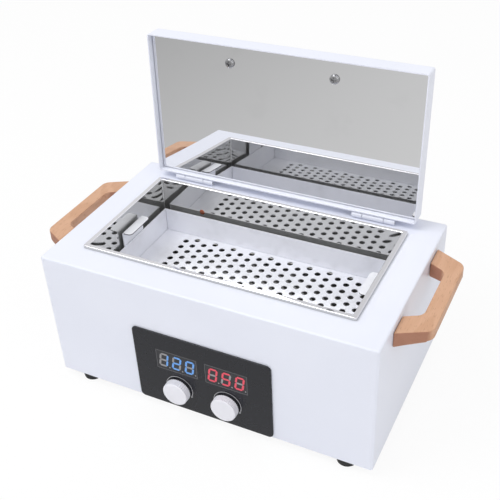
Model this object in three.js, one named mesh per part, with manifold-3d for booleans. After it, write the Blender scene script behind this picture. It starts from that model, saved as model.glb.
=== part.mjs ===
// A dry heat sterilizer for small instruments: a white sheet steel case round a stainless tank,
// a perforated lift-out tray, a hinged lid standing open, wooden handles, and a front panel with
// two displays and two knobs. Millimetres: X to the right, Y to the back, Z up. Z is zero at the
// soles of the feet, and X and Y are zero at the middle of the object as it stands, lid open.

import * as THREE from "three";
import { mergeVertices } from "three/addons/utils/BufferGeometryUtils.js";
import Module from "manifold-3d";

// Fits that all sub-assemblies share
const seatGap = 0.3; // between pieces that touch, and round pins and shanks
const overrun = 4; // how far a cutting shape passes its work
const weldMerge = 0.0005; // points nearer than this are one point

// Case of folded sheet steel
const caseSheet = 1;
const caseSideSpace = 33; // side wall to the inside of the tank's side wall
const caseBend = 2.4; // outside radius of the upright folds
const caseEdge = 1.8; // outside radius of the folds at top and bottom
const bottomFlangeFront = 27; // turned-in flanges under the front and rear walls
const bottomFlangeSide = 14; // turned-in flanges under the side walls

// Base plate with its air slots
const baseSheet = 1;
const airSlotLength = 34;
const airSlotWidth = 4;
const airSlotPitch = 15;
const airSlotsInRow = 6;
const airSlotRowShare = 0.5; // distance of the two rows, as a share of the case's depth
const airSlotInset = 64; // side wall to the middle of the rows

// Rubber feet and their screws
const footHeight = 8;
const footRadius = 10;
const footTaper = 1; // how much narrower the sole is
const footChamfer = 1;
const footInset = 26.5; // side wall to foot centre
const footSetback = 11; // front or rear wall to foot centre
const footRecessRadius = 5;
const footRecessDepth = 4;
const footScrewRadius = 2;
const footScrewHeadRadius = 3.8;
const footScrewHeadHeight = 2.4;
const footScrewTail = 3; // how far the shank stands above the base plate

// Inner tank of polished stainless steel with its raised rim
const tankLength = 254; // inside, along X
const tankWidth = 126; // inside, along Y
const tankDepth = 65; // rim top to tank floor
const tankSetback = 31.5; // front of the case to the inside of the tank's front wall
const tankSheet = 1;
const tankCorner = 2; // inside radius of the tank's upright corners
const rimWidth = 4.5; // inside of the tank wall to the outer edge of the rim
const rimRise = 3; // top of the case to top of the rim
const rimEdge = 0.8;
const tankStudRadius = 2;
const tankStudTail = 3; // how far the studs pass the clamp plate

// Heater, clamp plate, insulation and over-temperature cutout
const heaterMarginX = 17; // end of the heater to the tank's side wall
const heaterMarginY = 13; // edge of the heater to the tank's front and rear walls
const heaterThickness = 3;
const heaterStudInsetX = 20; // end of the heater to the studs
const heaterStudInsetY = 15; // edge of the heater to the studs
const heaterTerminalLength = 10;
const heaterTerminalWidth = 7;
const heaterTerminalSpacing = 16;
const clampMargin = 6; // heater edge to clamp plate edge
const clampSheet = 1.5;
const clampRibHeight = 3;
const clampRibWidth = 8;
const jacketThickness = 10;
const jacketBottomSpace = 1; // jacket floor to stud ends
const jacketCableHole = 32;
const cutoutRadius = 8;
const cutoutHeight = 7;
const cutoutPlate = 1;
const cutoutBladeLength = 7;
const cutoutBladeWidth = 5;
const cutoutInset = 57; // right side wall of the tank to the cutout
const cutoutRise = 24; // above the tank floor

// Temperature probe through the tank's rear wall
const probeInset = 45; // left side wall of the tank to the probe
const probeDrop = 26.5; // below the rim top
const probeRadius = 2.4;
const probeTip = 0.7; // how far the tip stands into the tank
const probeCollarRadius = 5;
const probeCollarThickness = 2;
const probeTail = 17;

// Lift-out tray
const traySheet = 0.8;
const traySideSpace = 3.4; // end walls to the tank's side walls
const trayFrontSpace = 4.4; // front and rear walls to the tank's walls
const trayDrop = 31.5; // tank rim top to tray top
const trayDepth = 25; // tray top to tray floor
const trayLedge = 12; // turned-in ledges that carry the floor at both ends
const trayLegWidth = 12;
const trayLegInset = 15.5; // tray wall to the middle of the leg
const trayHoleRadius = 3;
const trayHolePitchX = 10.4;
const trayHolePitchY = 10.7;
const trayHoleMargin = 2.25; // least tray wall to the edge of the first hole
const trayBlankEnd = 23.5; // mean tray end wall to the centre of the first column of holes
const trayHoleShift = 5.3; // middle of the tray to the middle of the holes, to the right

// Tray handles: bent tabs welded to the outside of the end walls
const tabWidth = 34;
const tabReach = 10.5;
const tabRise = 15.5; // above the tray
const tabTail = 15; // below the tray's top
const tabSheet = 1;
const tabCorner = 4;

// Lid: pan, liner and padding
const lidSideMargin = 8.5; // inside of the tank's side wall to the side of the lid
const lidFrontMargin = 7.5; // inside of the tank's front wall to the front of the lid
const lidRearMargin = 9.5; // inside of the tank's rear wall to the rear of the lid
const lidHeight = 19;
const lidSheet = 1.2;
const lidBend = 2.2;
const lidEdge = 1.6;
const lidRise = 1; // top of the case to the lid's edge, closed
const lidOpenAngle = 92; // degrees from closed to resting open
const linerSheet = 0.8;
const linerGap = 0.6; // liner to the walls of the pan
const linerFlange = 8;
const linerLift = 4; // tank rim to liner, closed

// Hinges
const hingeLength = 42;
const hingeInset = 40.5; // side of the lid to the middle of the hinge
const hingeShelf = 24; // rear of the lid to the rear of the case
const hingeOffset = 3.4; // lid's rear face to the hinge axis
const knuckleRadius = 2.75;
const leafSheet = 1;
const leafReach = 16; // hinge axis to the far edge of the case leaf
const lidLeafReach = 14; // hinge axis to the far edge of the lid leaf
const hingePinRadius = 1.2;
const middleKnuckleShare = 0.5; // of the hinge length

// Wooden handles, one shape for the sides and the lid
const handleLength = 126;
const handleFaceLength = 96;
const handleReach = 28.4;
const handleThickness = 15;
const handleGripThickness = 13.4;
const handleOpeningLength = 79; // at the wall
const handleOpeningGripLength = 63; // at the grip
const handleOuterRound = 9;
const handleInnerRound = 9;
const handleEase = 1.4; // eased edges
const sideHandleDrop = 15.5; // top of the case to the middle of the side handles
const handleScrewRadius = 2;
const handleScrewBite = 13; // how deep the screws run into the wood
const handleScrewHeadRadius = 4;
const handleScrewHeadHeight = 2.4;
const lidHandleSetback = 17.5; // front of the lid to the middle of its handle
const lidScrewHeadRadius = 4.5;
const lidScrewHeadHeight = 2.6;
const crossSlotWidth = 1.1;
const crossSlotDepth = 1.2;

// Front panel
const panelSideMargin = 22.7; // display to the side edge of the panel
const panelHeight = 84;
const panelRise = 1.6; // bottom edge of the case to the panel's lower edge
const panelThickness = 1.2;
const panelCorner = 4.5;
const displayWidth = 42;
const displayHeight = 22;
const displayGap = 7.6; // between the two displays
const displayRise = 54; // above the panel's lower edge
const displayBezel = 0.9;
const displaySink = 0.4;
const knobSpacing = 49;
const knobRise = 24.6; // above the panel's lower edge
const boardSetback = 11; // case front to control board front
const boardThickness = 1.6;
const boardMargin = 5; // panel edge to control board edge
const boardStudRadius = 2.5;
const boardStudInset = 4;

// Rotary controls and knobs
const controlBodySize = 17;
const controlBodyDepth = 7;
const bushingRadius = 3.5;
const bushingSink = 0.4; // bushing end behind the panel face
const shaftRadius = 2.5;
const shaftFlatShare = 0.45; // flat of the shaft, from its axis, as a share of its radius
const shaftInControl = 5;
const shaftInKnob = 7;
const knobRadius = 12.1;
const knobFaceRadius = 11.3;
const knobCapRadius = 10.2;
const knobHeight = 8.6;
const knobCapHeight = 0.9;
const knobStandoff = 0.8; // panel face to the knob's back
const knobFluteDepth = 0.35;
const knobFlutes = 28;

// Power electronics on the base plate
const powerBoardLength = 120;
const powerBoardWidth = 72;
const powerBoardOffset = 40; // to the right of the middle
const powerAir = 7.9; // transformer to the insulation above it
const powerPillarHeight = 7;
const powerPillarRadius = 3;
const powerPillarInset = 5;
const transformerLength = 42;
const transformerWidth = 24;
const transformerHeight = 33;
const transformerCoilBulge = 5;
const relayLength = 19;
const relayWidth = 16;
const relayHeight = 16;
const relayPinLength = 1.2;
const relayPinRadius = 0.8;
const partInset = 12; // board edge to the parts on it

// Mains inlet and power switch in the rear wall
const inletInset = 48; // left side wall to the middle of the inlet
const inletRise = 34;
const inletFlangeWidth = 31;
const inletFlangeHeight = 26;
const inletFlangeThickness = 2.5;
const inletBodyWidth = 27;
const inletBodyHeight = 21;
const inletBodyDepth = 18;
const inletSocketWidth = 23.5;
const inletSocketHeight = 16.5;
const inletSocketDepth = 15;
const inletSocketChamfer = 4;
const inletPinWidth = 2;
const inletPinHeight = 4;
const inletPinLength = 12;
const inletPinSpacing = 14;
const inletEarthRaise = 4;
const switchInset = 88; // left side wall to the middle of the switch
const switchFlangeWidth = 15;
const switchFlangeHeight = 21;
const switchFlangeThickness = 1.8;
const switchBodyWidth = 13;
const switchBodyHeight = 19;
const switchBodyDepth = 15;
const switchWall = 1.2;
const rockerTilt = 9; // degrees to either side of the middle
const rockerRadius = 4.5; // of its round back
const rockerStand = 2.6; // how far its raised end stands out of the flange
const rearSlotLength = 30;
const rearSlotWidth = 4;
const rearSlotPitch = 11;
const rearSlots = 9;
const rearSlotInset = 98; // right side wall to the middle of the slots
const rearSlotRise = 40;

// Cables inside the case
const cableRadius = 1.6;
const ribbonWidth = 14;
const ribbonThickness = 1.2;

// Facet counts
const boltSides = 8;
const holeSides = 6;
const knuckleSides = 12;
const footSides = 12;
const arcSteps = 2;
const slotArcSteps = 1;
const woodArcSteps = 3;
const edgeSteps = 2;
const cableSides = 6;
const cableSteps = 9;

// Heights worked out from the base plate up to the rim
const baseTop = caseSheet + seatGap + baseSheet;
const powerBoardUnder = baseTop + powerPillarHeight + seatGap;
const powerBoardTop = powerBoardUnder + boardThickness;
const transformerTop = powerBoardTop + seatGap + transformerHeight;
const jacketInner = transformerTop + powerAir + jacketThickness;
const studEnd = jacketInner + jacketBottomSpace;
const clampUnder = studEnd + tankStudTail;
const heaterUnder = clampUnder + clampSheet + seatGap;
const tankUnder = heaterUnder + heaterThickness + seatGap;
const tankFloor = tankUnder + tankSheet;
const rimTop = tankFloor + tankDepth;
const caseHeight = rimTop - rimRise;

// Lengths and widths worked out from the tank outwards
const tankMiddle = tankSetback + tankWidth / 2;
const tankRear = tankSetback + tankWidth;
const heaterLength = tankLength - 2 * heaterMarginX;
const heaterWidth = tankWidth - 2 * heaterMarginY;
const lidWidth = tankLength + 2 * lidSideMargin;
const lidDepth = tankWidth + lidFrontMargin + lidRearMargin;
const lidRear = tankRear + lidRearMargin;
const caseWidth = tankLength + 2 * caseSideSpace;
const caseDepth = lidRear + hingeShelf;
const halfCase = caseWidth / 2;
const caseMiddle = caseDepth / 2;
const probeOffset = probeInset - tankLength / 2;
const cutoutOffset = tankLength / 2 - cutoutInset;
const inletOffset = inletInset - halfCase;
const switchOffset = switchInset - halfCase;
const rearSlotOffset = halfCase - rearSlotInset;
const trayTop = rimTop - trayDrop;
const trayFloorTop = trayTop - trayDepth;
const trayHalfLength = tankLength / 2 - traySideSpace - traySheet;
const trayHalfWidth = tankWidth / 2 - trayFrontSpace - traySheet;
const hingeY = lidRear + hingeOffset;
const hingeZ = caseHeight + seatGap + knuckleRadius;
const lidOpen = THREE.MathUtils.degToRad(lidOpenAngle);
const displaySpacing = displayWidth + displayGap;
const panelWidth = displaySpacing + displayWidth + 2 * panelSideMargin;
const panelMiddle = panelRise + panelHeight / 2;
const panelFace = -seatGap - panelThickness;
const displayZ = panelRise + displayRise;
const knobZ = panelRise + knobRise;
const knobBack = panelFace - knobStandoff;
const knobFace = knobBack - knobHeight - knobCapHeight;
const handleBoltSpacing = (handleLength + handleOpeningLength) / 2;
const sideHandleZ = caseHeight - sideHandleDrop;

const wasm = await Module();
wasm.setup();

const whitePaint = finish(0xf4f5f8, 0.28, 0.0);
const mirrorSteel = finish(0xc9cbcf, 0.08, 1.0);
const satinSteel = finish(0xc4c6c9, 0.3, 1.0);
const zincSteel = finish(0xa9adb3, 0.4, 1.0);
const chrome = finish(0xd8dade, 0.12, 1.0);
const beech = finish(0xdba877, 0.55, 0.0);
const blackGloss = finish(0x2c2e31, 0.25, 0.0);
const whitePlastic = finish(0xf0f0f4, 0.35, 0.0);
const blackPlastic = finish(0x1d1e20, 0.5, 0.0);
const rubber = finish(0x18191b, 0.85, 0.0);
const mica = finish(0x9a7d52, 0.7, 0.0);
const mineralWool = finish(0xd9d4c3, 0.95, 0.0);
const copper = finish(0xb5673a, 0.3, 1.0);
const circuitGreen = finish(0x1f6b43, 0.5, 0.0);
const coreSteel = finish(0x6d6a66, 0.5, 0.8);
const cableGrey = finish(0x8c8f95, 0.6, 0.0);
const smokedLens = finish(0x3b3d42, 0.2, 0.0);

function finish(color, roughness, metalness) {
  return new THREE.MeshStandardMaterial({ color, roughness, metalness });
}

// Turns a closed geometry into a solid that can be joined and cut.
function solidOf(geometry) {
  const bare = geometry.clone();
  bare.deleteAttribute("normal");
  bare.deleteAttribute("uv");
  const merged = mergeVertices(bare, weldMerge);
  const corners = merged.index.array;
  const kept = [];
  for (let i = 0; i < corners.length; i += 3) {
    const [a, b, c] = corners.slice(i, i + 3);
    if (a !== b && b !== c && c !== a) kept.push(a, b, c);
  }
  const vertProperties = merged.attributes.position.array;
  const triVerts = new Uint32Array(kept);
  return new wasm.Manifold(new wasm.Mesh({ numProp: 3, vertProperties, triVerts }));
}

// Names a solid and gives it its finish, as one mesh of the scene graph.
function piece(name, solid, material) {
  const { vertProperties, triVerts } = solid.getMesh();
  const indexed = new THREE.BufferGeometry();
  indexed.setAttribute("position", new THREE.BufferAttribute(vertProperties, 3));
  indexed.setIndex(new THREE.BufferAttribute(triVerts, 1));
  const geometry = indexed.toNonIndexed();
  geometry.computeVertexNormals();
  const mesh = new THREE.Mesh(geometry, material);
  mesh.name = name;
  return mesh;
}

function join(first, ...others) {
  return others.reduce((whole, other) => whole.add(other), first);
}

function cut(work, ...tools) {
  return tools.reduce((rest, tool) => rest.subtract(tool), work);
}

// A box between two corners, given as the low and high value along each axis.
function block([x0, x1], [y0, y1], [z0, z1]) {
  const geometry = new THREE.BoxGeometry(x1 - x0, y1 - y0, z1 - z0);
  geometry.translate((x0 + x1) / 2, (y0 + y1) / 2, (z0 + z1) / 2);
  return solidOf(geometry);
}

// The low and high value of a stretch with a given middle and length.
function span(middle, length) {
  return [middle - length / 2, middle + length / 2];
}

// Turns a geometry that was made along Z so that its length lies along the named axis.
function laid(geometry, axis, from, to) {
  if (axis === "z") return geometry.translate(0, 0, from);
  if (axis === "y") return geometry.rotateX(Math.PI / 2).translate(0, to, 0);
  return geometry.rotateZ(Math.PI / 2).rotateY(Math.PI / 2).translate(from, 0, 0);
}

// A flat outline given thickness. The outline's two directions are the other two axes in order.
function prism(shape, axis, [from, to], curveSegments = arcSteps) {
  const settings = { depth: to - from, bevelEnabled: false, curveSegments };
  return solidOf(laid(new THREE.ExtrudeGeometry(shape, settings), axis, from, to));
}

// The same with both ends rounded off.
function easedPrism(shape, axis, [from, to], ease, curveSegments = arcSteps) {
  const settings = {
    depth: to - from - 2 * ease,
    bevelThickness: ease,
    bevelSize: ease,
    bevelOffset: -ease,
    bevelSegments: edgeSteps,
    curveSegments,
  };
  const geometry = new THREE.ExtrudeGeometry(shape, settings).translate(0, 0, ease);
  return solidOf(laid(geometry, axis, from, to));
}

// A round bar along an axis, centred on a point of the plane of the other two axes.
function rod(axis, radius, [from, to], [a, b], sides = boltSides) {
  const centre = { x: [0, a, b], y: [a, 0, b], z: [a, b, 0] }[axis];
  return turned([[0, from], [radius, from], [radius, to], [0, to]], axis, centre, sides);
}

// A profile of [radius, height] points, turned about an axis through a centre.
function turned(profile, axis, centre, sides) {
  const points = profile.map(([radius, height]) => new THREE.Vector2(radius, height));
  const geometry = new THREE.LatheGeometry(points, sides);
  if (axis === "z") geometry.rotateX(Math.PI / 2);
  if (axis === "x") geometry.rotateZ(-Math.PI / 2);
  return solidOf(geometry.translate(...centre));
}

// A closed outline of corners [u, v, radius], each rounded by its own radius.
function roundedOutline(corners) {
  const shape = new THREE.Shape();
  corners.forEach(([u, v, radius], i) => {
    const here = new THREE.Vector2(u, v);
    const before = cornerPoint(corners, i - 1).sub(here).setLength(radius).add(here);
    const after = cornerPoint(corners, i + 1).sub(here).setLength(radius).add(here);
    if (i === 0) shape.moveTo(before.x, before.y);
    else shape.lineTo(before.x, before.y);
    if (radius > 0) shape.quadraticCurveTo(u, v, after.x, after.y);
  });
  shape.closePath();
  return shape;
}

function cornerPoint(corners, i) {
  const [u, v] = corners[(i + corners.length) % corners.length];
  return new THREE.Vector2(u, v);
}

function roundedRectangle([u0, u1], [v0, v1], radius) {
  return roundedOutline([
    [u0, v0, radius],
    [u1, v0, radius],
    [u1, v1, radius],
    [u0, v1, radius],
  ]);
}

// A box with rounded upright corners and slightly tighter folds at its top and bottom.
function foldedBox(xSpan, ySpan, zSpan, corner, edge) {
  return easedPrism(roundedRectangle(xSpan, ySpan, corner), "z", zSpan, edge);
}

function inset([low, high], amount) {
  return [low + amount, high - amount];
}

// A slot with round ends, as an outline lengthwise along v.
function slotOutline(u, v, length, width) {
  return roundedRectangle(span(u, width), span(v, length), width / 2);
}

// Stacks closed rings of the same number of points into one skin, closed by a fan at each end.
function lofted(rings) {
  const count = rings[0].length;
  const positions = rings.flat().flatMap((point) => point.toArray());
  const faces = [];
  for (let r = 0; r + 1 < rings.length; r++) {
    for (let i = 0; i < count; i++) {
      const a = r * count + i;
      const b = r * count + ((i + 1) % count);
      faces.push(a, b, b + count, a, b + count, a + count);
    }
  }
  const last = (rings.length - 1) * count;
  for (let i = 1; i + 1 < count; i++) {
    faces.push(0, i + 1, i, last, last + i, last + i + 1);
  }
  const geometry = new THREE.BufferGeometry();
  geometry.setAttribute("position", new THREE.Float32BufferAttribute(positions, 3));
  geometry.setIndex(faces);
  return solidOf(geometry);
}

// A cable of round or flat section along a smooth route.
function cable(route, section) {
  const curve = new THREE.CatmullRomCurve3(route.map((point) => new THREE.Vector3(...point)));
  const settings = { steps: cableSteps, extrudePath: curve, curveSegments: cableSides };
  return solidOf(new THREE.ExtrudeGeometry(section, settings));
}

function roundSection(radius) {
  const corners = [];
  for (let i = 0; i < cableSides; i++) {
    const angle = (2 * Math.PI * i) / cableSides;
    corners.push(new THREE.Vector2(radius * Math.cos(angle), radius * Math.sin(angle)));
  }
  return new THREE.Shape(corners);
}

const sides = [
  ["left", -1],
  ["right", 1],
];
const ends = [
  ["front", footSetback],
  ["rear", caseDepth - footSetback],
];

function footPlaces() {
  return ends.flatMap(([end, y]) =>
    sides.map(([side, sign]) => ({ label: `${end}_${side}`, x: sign * (halfCase - footInset), y })),
  );
}

function outerCase() {
  const x = span(0, caseWidth);
  const y = [0, caseDepth];
  const z = [0, caseHeight];
  const outside = foldedBox(x, y, z, caseBend, caseEdge);
  const inside = foldedBox(
    inset(x, caseSheet),
    inset(y, caseSheet),
    inset(z, caseSheet),
    caseBend - caseSheet,
    caseEdge - caseSheet,
  );
  const tankHole = foldedTankOutline(tankSheet + seatGap);
  const topHole = prism(tankHole, "z", [caseHeight - overrun, caseHeight + overrun]);
  const bottomHole = block(
    inset(x, bottomFlangeSide),
    inset(y, bottomFlangeFront),
    [-overrun, overrun],
  );
  const frontWall = [-overrun, caseSheet + overrun];
  const displayHoles = sides.map(([, sign]) =>
    block(
      span((sign * displaySpacing) / 2, displayWidth + 2 * seatGap),
      frontWall,
      span(displayZ, displayHeight + 2 * seatGap),
    ),
  );
  const bushingHoles = sides.map(([, sign]) =>
    rod("y", bushingRadius + seatGap, frontWall, [(sign * knobSpacing) / 2, knobZ]),
  );
  const footHoles = footPlaces().map((place) =>
    rod("z", footScrewRadius + seatGap, [-overrun, overrun], [place.x, place.y]),
  );
  const handleHoles = handleScrewPlaces().map(({ sign, y: along }) =>
    rod(
      "x",
      handleScrewRadius + seatGap,
      span(sign * halfCase, 2 * overrun),
      [along, sideHandleZ],
    ),
  );
  const studs = boardStudPlaces().map(([u, v]) =>
    rod("y", boardStudRadius, [caseSheet - seatGap, boardSetback - seatGap], [u, v]),
  );
  const shell = cut(outside, inside, topHole, bottomHole, ...displayHoles, ...bushingHoles);
  const drilled = cut(shell, ...footHoles, ...handleHoles, ...rearOpenings());
  return piece("outer_case", join(drilled, ...studs), whitePaint);
}

// The tank's plan, widened all round by a margin.
function foldedTankOutline(margin) {
  return roundedRectangle(
    span(0, tankLength + 2 * margin),
    span(tankMiddle, tankWidth + 2 * margin),
    tankCorner + margin,
  );
}

function rearOpenings() {
  const wall = [caseDepth - caseSheet - overrun, caseDepth + overrun];
  const inletHole = block(
    span(inletOffset, inletBodyWidth + 2 * seatGap),
    wall,
    span(inletRise, inletBodyHeight + 2 * seatGap),
  );
  const switchHole = block(
    span(switchOffset, switchBodyWidth + 2 * seatGap),
    wall,
    span(inletRise, switchBodyHeight + 2 * seatGap),
  );
  const slots = [];
  for (let i = 0; i < rearSlots; i++) {
    const u = rearSlotOffset + (i - (rearSlots - 1) / 2) * rearSlotPitch;
    const slot = slotOutline(u, rearSlotRise, rearSlotLength, rearSlotWidth);
    slots.push(prism(slot, "y", wall, slotArcSteps));
  }
  return [inletHole, switchHole, ...slots];
}

function boardSpans() {
  return [
    span(0, panelWidth - 2 * boardMargin),
    span(panelMiddle, panelHeight - 2 * boardMargin),
  ];
}

function boardStudPlaces() {
  const [u, v] = boardSpans().map((edge) => inset(edge, boardStudInset));
  return u.flatMap((a) => v.map((b) => [a, b]));
}

function powerPillarPlaces() {
  const x = inset(span(powerBoardOffset, powerBoardLength), powerPillarInset);
  const y = inset(span(caseMiddle, powerBoardWidth), powerPillarInset);
  return x.flatMap((a) => y.map((b) => [a, b]));
}

function basePlate() {
  const margin = caseSheet + seatGap;
  const z = [caseSheet + seatGap, baseTop];
  const outline = roundedRectangle(
    inset(span(0, caseWidth), margin),
    inset([0, caseDepth], margin),
    caseBend,
  );
  const plate = prism(outline, "z", z);
  const through = [z[0] - overrun, z[1] + overrun];
  const screwHoles = footPlaces().map((place) =>
    rod("z", footScrewRadius + seatGap, through, [place.x, place.y]),
  );
  const slots = [];
  for (const [, sign] of sides) {
    for (let i = 0; i < airSlotsInRow; i++) {
      const u = (i - (airSlotsInRow - 1) / 2) * airSlotPitch + airSlotInset - halfCase;
      const v = caseMiddle + (sign * airSlotRowShare * caseDepth) / 2;
      const slot = slotOutline(u, v, airSlotLength, airSlotWidth);
      slots.push(prism(slot, "z", through, slotArcSteps));
    }
  }
  const pillars = powerPillarPlaces().map((place) =>
    rod("z", powerPillarRadius, [z[0], baseTop + powerPillarHeight], place),
  );
  return piece("base_plate", join(cut(plate, ...screwHoles, ...slots), ...pillars), zincSteel);
}

// One rubber foot with its screw, whose head lies in the recess of the sole.
function footWithScrew({ label, x, y }) {
  const bore = footScrewRadius + seatGap;
  const soleRadius = footRadius - footTaper;
  const recessTop = footRecessDepth - footHeight;
  const rubberProfile = [
    [bore, -seatGap],
    [bore, recessTop],
    [footRecessRadius, recessTop],
    [footRecessRadius, -footHeight],
    [soleRadius - footChamfer, -footHeight],
    [soleRadius, footChamfer - footHeight],
    [footRadius, -seatGap],
    [bore, -seatGap],
  ];
  const headTop = recessTop - seatGap;
  const headBottom = headTop - footScrewHeadHeight;
  const screwProfile = [
    [0, headBottom],
    [footScrewHeadRadius - footScrewHeadHeight / 2, headBottom],
    [footScrewHeadRadius, headTop - footScrewHeadHeight / 2],
    [footScrewHeadRadius, headTop],
    [footScrewRadius, headTop],
    [footScrewRadius, baseTop + footScrewTail],
    [0, baseTop + footScrewTail],
  ];
  return [
    piece(`foot_${label}`, turned(rubberProfile, "z", [x, y, 0], footSides), rubber),
    piece(`foot_screw_${label}`, turned(screwProfile, "z", [x, y, 0], boltSides), zincSteel),
  ];
}

function innerTank() {
  const outer = foldedTankOutline(tankSheet);
  const hollow = foldedTankOutline(0);
  const box = prism(outer, "z", [tankUnder, rimTop - rimEdge]);
  const rim = foldedBox(
    span(0, tankLength + 2 * rimWidth),
    span(tankMiddle, tankWidth + 2 * rimWidth),
    [caseHeight + seatGap, rimTop],
    tankCorner + rimWidth,
    rimEdge,
  );
  const groove = prism(foldedTankOutline(rimWidth - tankSheet), "z", [
    caseHeight - overrun,
    rimTop - tankSheet,
  ]);
  const cavity = prism(hollow, "z", [tankFloor, rimTop + overrun]);
  const probeHole = rod(
    "y",
    probeRadius + seatGap,
    [tankRear - overrun, tankRear + overrun],
    [probeOffset, rimTop - probeDrop],
  );
  const studs = tankStudPlaces().map((place) =>
    rod("z", tankStudRadius, [studEnd, tankUnder + tankSheet / 2], place),
  );
  const shell = cut(join(cut(rim, groove), box), cavity, probeHole);
  return piece("inner_tank", join(shell, ...studs), mirrorSteel);
}

function tankStudPlaces() {
  const x = inset(span(0, heaterLength), heaterStudInsetX);
  const y = inset(span(tankMiddle, heaterWidth), heaterStudInsetY);
  return x.flatMap((a) => y.map((b) => [a, b]));
}

function heaterPlate() {
  const z = [heaterUnder, heaterUnder + heaterThickness];
  const plate = block(span(0, heaterLength), span(tankMiddle, heaterWidth), z);
  const holes = tankStudPlaces().map((place) =>
    rod("z", tankStudRadius + seatGap, [z[0] - overrun, z[1] + overrun], place),
  );
  const rearEdge = tankMiddle + heaterWidth / 2;
  const terminals = [-1, 1].map((sign) =>
    block(
      span(powerBoardOffset + (sign * heaterTerminalSpacing) / 2, heaterTerminalWidth),
      [rearEdge - seatGap, rearEdge + heaterTerminalLength],
      [z[0], z[0] + clampSheet],
    ),
  );
  return piece("heater_plate", join(cut(plate, ...holes), ...terminals), mica);
}

function clampPlate() {
  const z = [clampUnder, clampUnder + clampSheet];
  const length = heaterLength - 2 * clampMargin;
  const width = heaterWidth - 2 * clampMargin;
  const plate = block(span(0, length), span(tankMiddle, width), z);
  const holes = tankStudPlaces().map((place) =>
    rod("z", tankStudRadius + seatGap, [z[0] - overrun, z[1] + overrun], place),
  );
  const ribs = [-1, 1].map((sign) =>
    block(
      inset(span(0, length), heaterStudInsetX),
      span(tankMiddle + (sign * width) / 5, clampRibWidth),
      [clampUnder - clampRibHeight, clampUnder + clampSheet / 2],
    ),
  );
  return piece("heater_clamp_plate", join(cut(plate, ...holes), ...ribs), zincSteel);
}

function insulationJacket() {
  const inner = tankSheet + seatGap;
  const top = caseHeight - caseSheet - seatGap;
  const outside = prism(foldedTankOutline(inner + jacketThickness), "z", [
    jacketInner - jacketThickness,
    top,
  ]);
  const hollow = prism(foldedTankOutline(inner), "z", [jacketInner, top + overrun]);
  const rearWall = [tankRear, tankRear + jacketThickness + 2 * overrun];
  const probeHole = rod(
    "y",
    probeCollarRadius + seatGap,
    rearWall,
    [probeOffset, rimTop - probeDrop],
    knuckleSides,
  );
  const cutoutHole = rod(
    "y",
    cutoutRadius + cutoutPlate + seatGap,
    rearWall,
    [cutoutOffset, tankFloor + cutoutRise],
    footSides,
  );
  const cableHole = block(
    span(powerBoardOffset, jacketCableHole),
    span(tankMiddle + heaterWidth / 2 + heaterTerminalLength / 2, heaterTerminalLength),
    [jacketInner - jacketThickness - overrun, jacketInner + overrun],
  );
  return piece(
    "insulation_jacket",
    cut(outside, hollow, probeHole, cutoutHole, cableHole),
    mineralWool,
  );
}

function thermalCutout() {
  const back = tankRear + tankSheet + seatGap;
  const height = tankFloor + cutoutRise;
  const profile = [
    [0, back],
    [cutoutRadius + cutoutPlate, back],
    [cutoutRadius + cutoutPlate, back + cutoutPlate],
    [cutoutRadius, back + cutoutPlate],
    [cutoutRadius, back + cutoutHeight],
    [0, back + cutoutHeight],
  ];
  const body = turned(profile, "y", [cutoutOffset, 0, height], footSides);
  const blades = [-1, 1].map((sign) =>
    block(
      span(cutoutOffset + (sign * cutoutRadius) / 2, cutoutPlate),
      [back + cutoutHeight / 2, back + cutoutHeight + cutoutBladeLength],
      span(height, cutoutBladeWidth),
    ),
  );
  return piece("thermal_cutout", join(body, ...blades), blackPlastic);
}

function temperatureProbe() {
  const wall = tankRear + tankSheet + seatGap;
  const profile = [
    [0, tankRear - probeTip],
    [probeRadius / 2, tankRear - probeTip],
    [probeRadius, tankRear],
    [probeRadius, wall],
    [probeCollarRadius, wall],
    [probeCollarRadius, wall + probeCollarThickness],
    [probeRadius, wall + probeCollarThickness],
    [probeRadius, wall + probeTail],
    [0, wall + probeTail],
  ];
  const centre = [probeOffset, 0, rimTop - probeDrop];
  return piece("temperature_probe", turned(profile, "y", centre, knuckleSides), copper);
}

function frontOverlay() {
  const y = [panelFace, -seatGap];
  const through = [y[0] - overrun, y[1] + overrun];
  const outline = roundedRectangle(
    span(0, panelWidth),
    span(panelMiddle, panelHeight),
    panelCorner,
  );
  const windows = sides.map(([, sign]) =>
    block(
      span((sign * displaySpacing) / 2, displayWidth + 2 * seatGap),
      through,
      span(displayZ, displayHeight + 2 * seatGap),
    ),
  );
  const holes = sides.map(([, sign]) =>
    rod("y", bushingRadius + seatGap, through, [(sign * knobSpacing) / 2, knobZ]),
  );
  return piece("front_overlay", cut(prism(outline, "y", y), ...windows, ...holes), blackGloss);
}

function display(name, sign) {
  const x = span((sign * displaySpacing) / 2, displayWidth);
  const z = span(displayZ, displayHeight);
  const body = block(x, [panelFace, boardSetback - seatGap], z);
  const sunkFace = block(
    inset(x, displayBezel),
    [panelFace - overrun, panelFace + displaySink],
    inset(z, displayBezel),
  );
  return piece(name, cut(body, sunkFace), smokedLens);
}

function controlBoard() {
  const [x, z] = boardSpans();
  const y = [boardSetback, boardSetback + boardThickness];
  return piece("control_board", block(x, y, z), circuitGreen);
}

function rotaryControl(name, sign) {
  const u = (sign * knobSpacing) / 2;
  const back = boardSetback - seatGap;
  const front = back - controlBodyDepth;
  const body = block(span(u, controlBodySize), [front, back], span(knobZ, controlBodySize));
  const bushing = rod("y", bushingRadius, [panelFace + bushingSink, back], [u, knobZ], knuckleSides);
  const bore = rod(
    "y",
    shaftRadius + seatGap,
    [panelFace - overrun, front + shaftInControl + seatGap],
    [u, knobZ],
    knuckleSides,
  );
  return piece(name, cut(join(body, bushing), bore), zincSteel);
}

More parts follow.
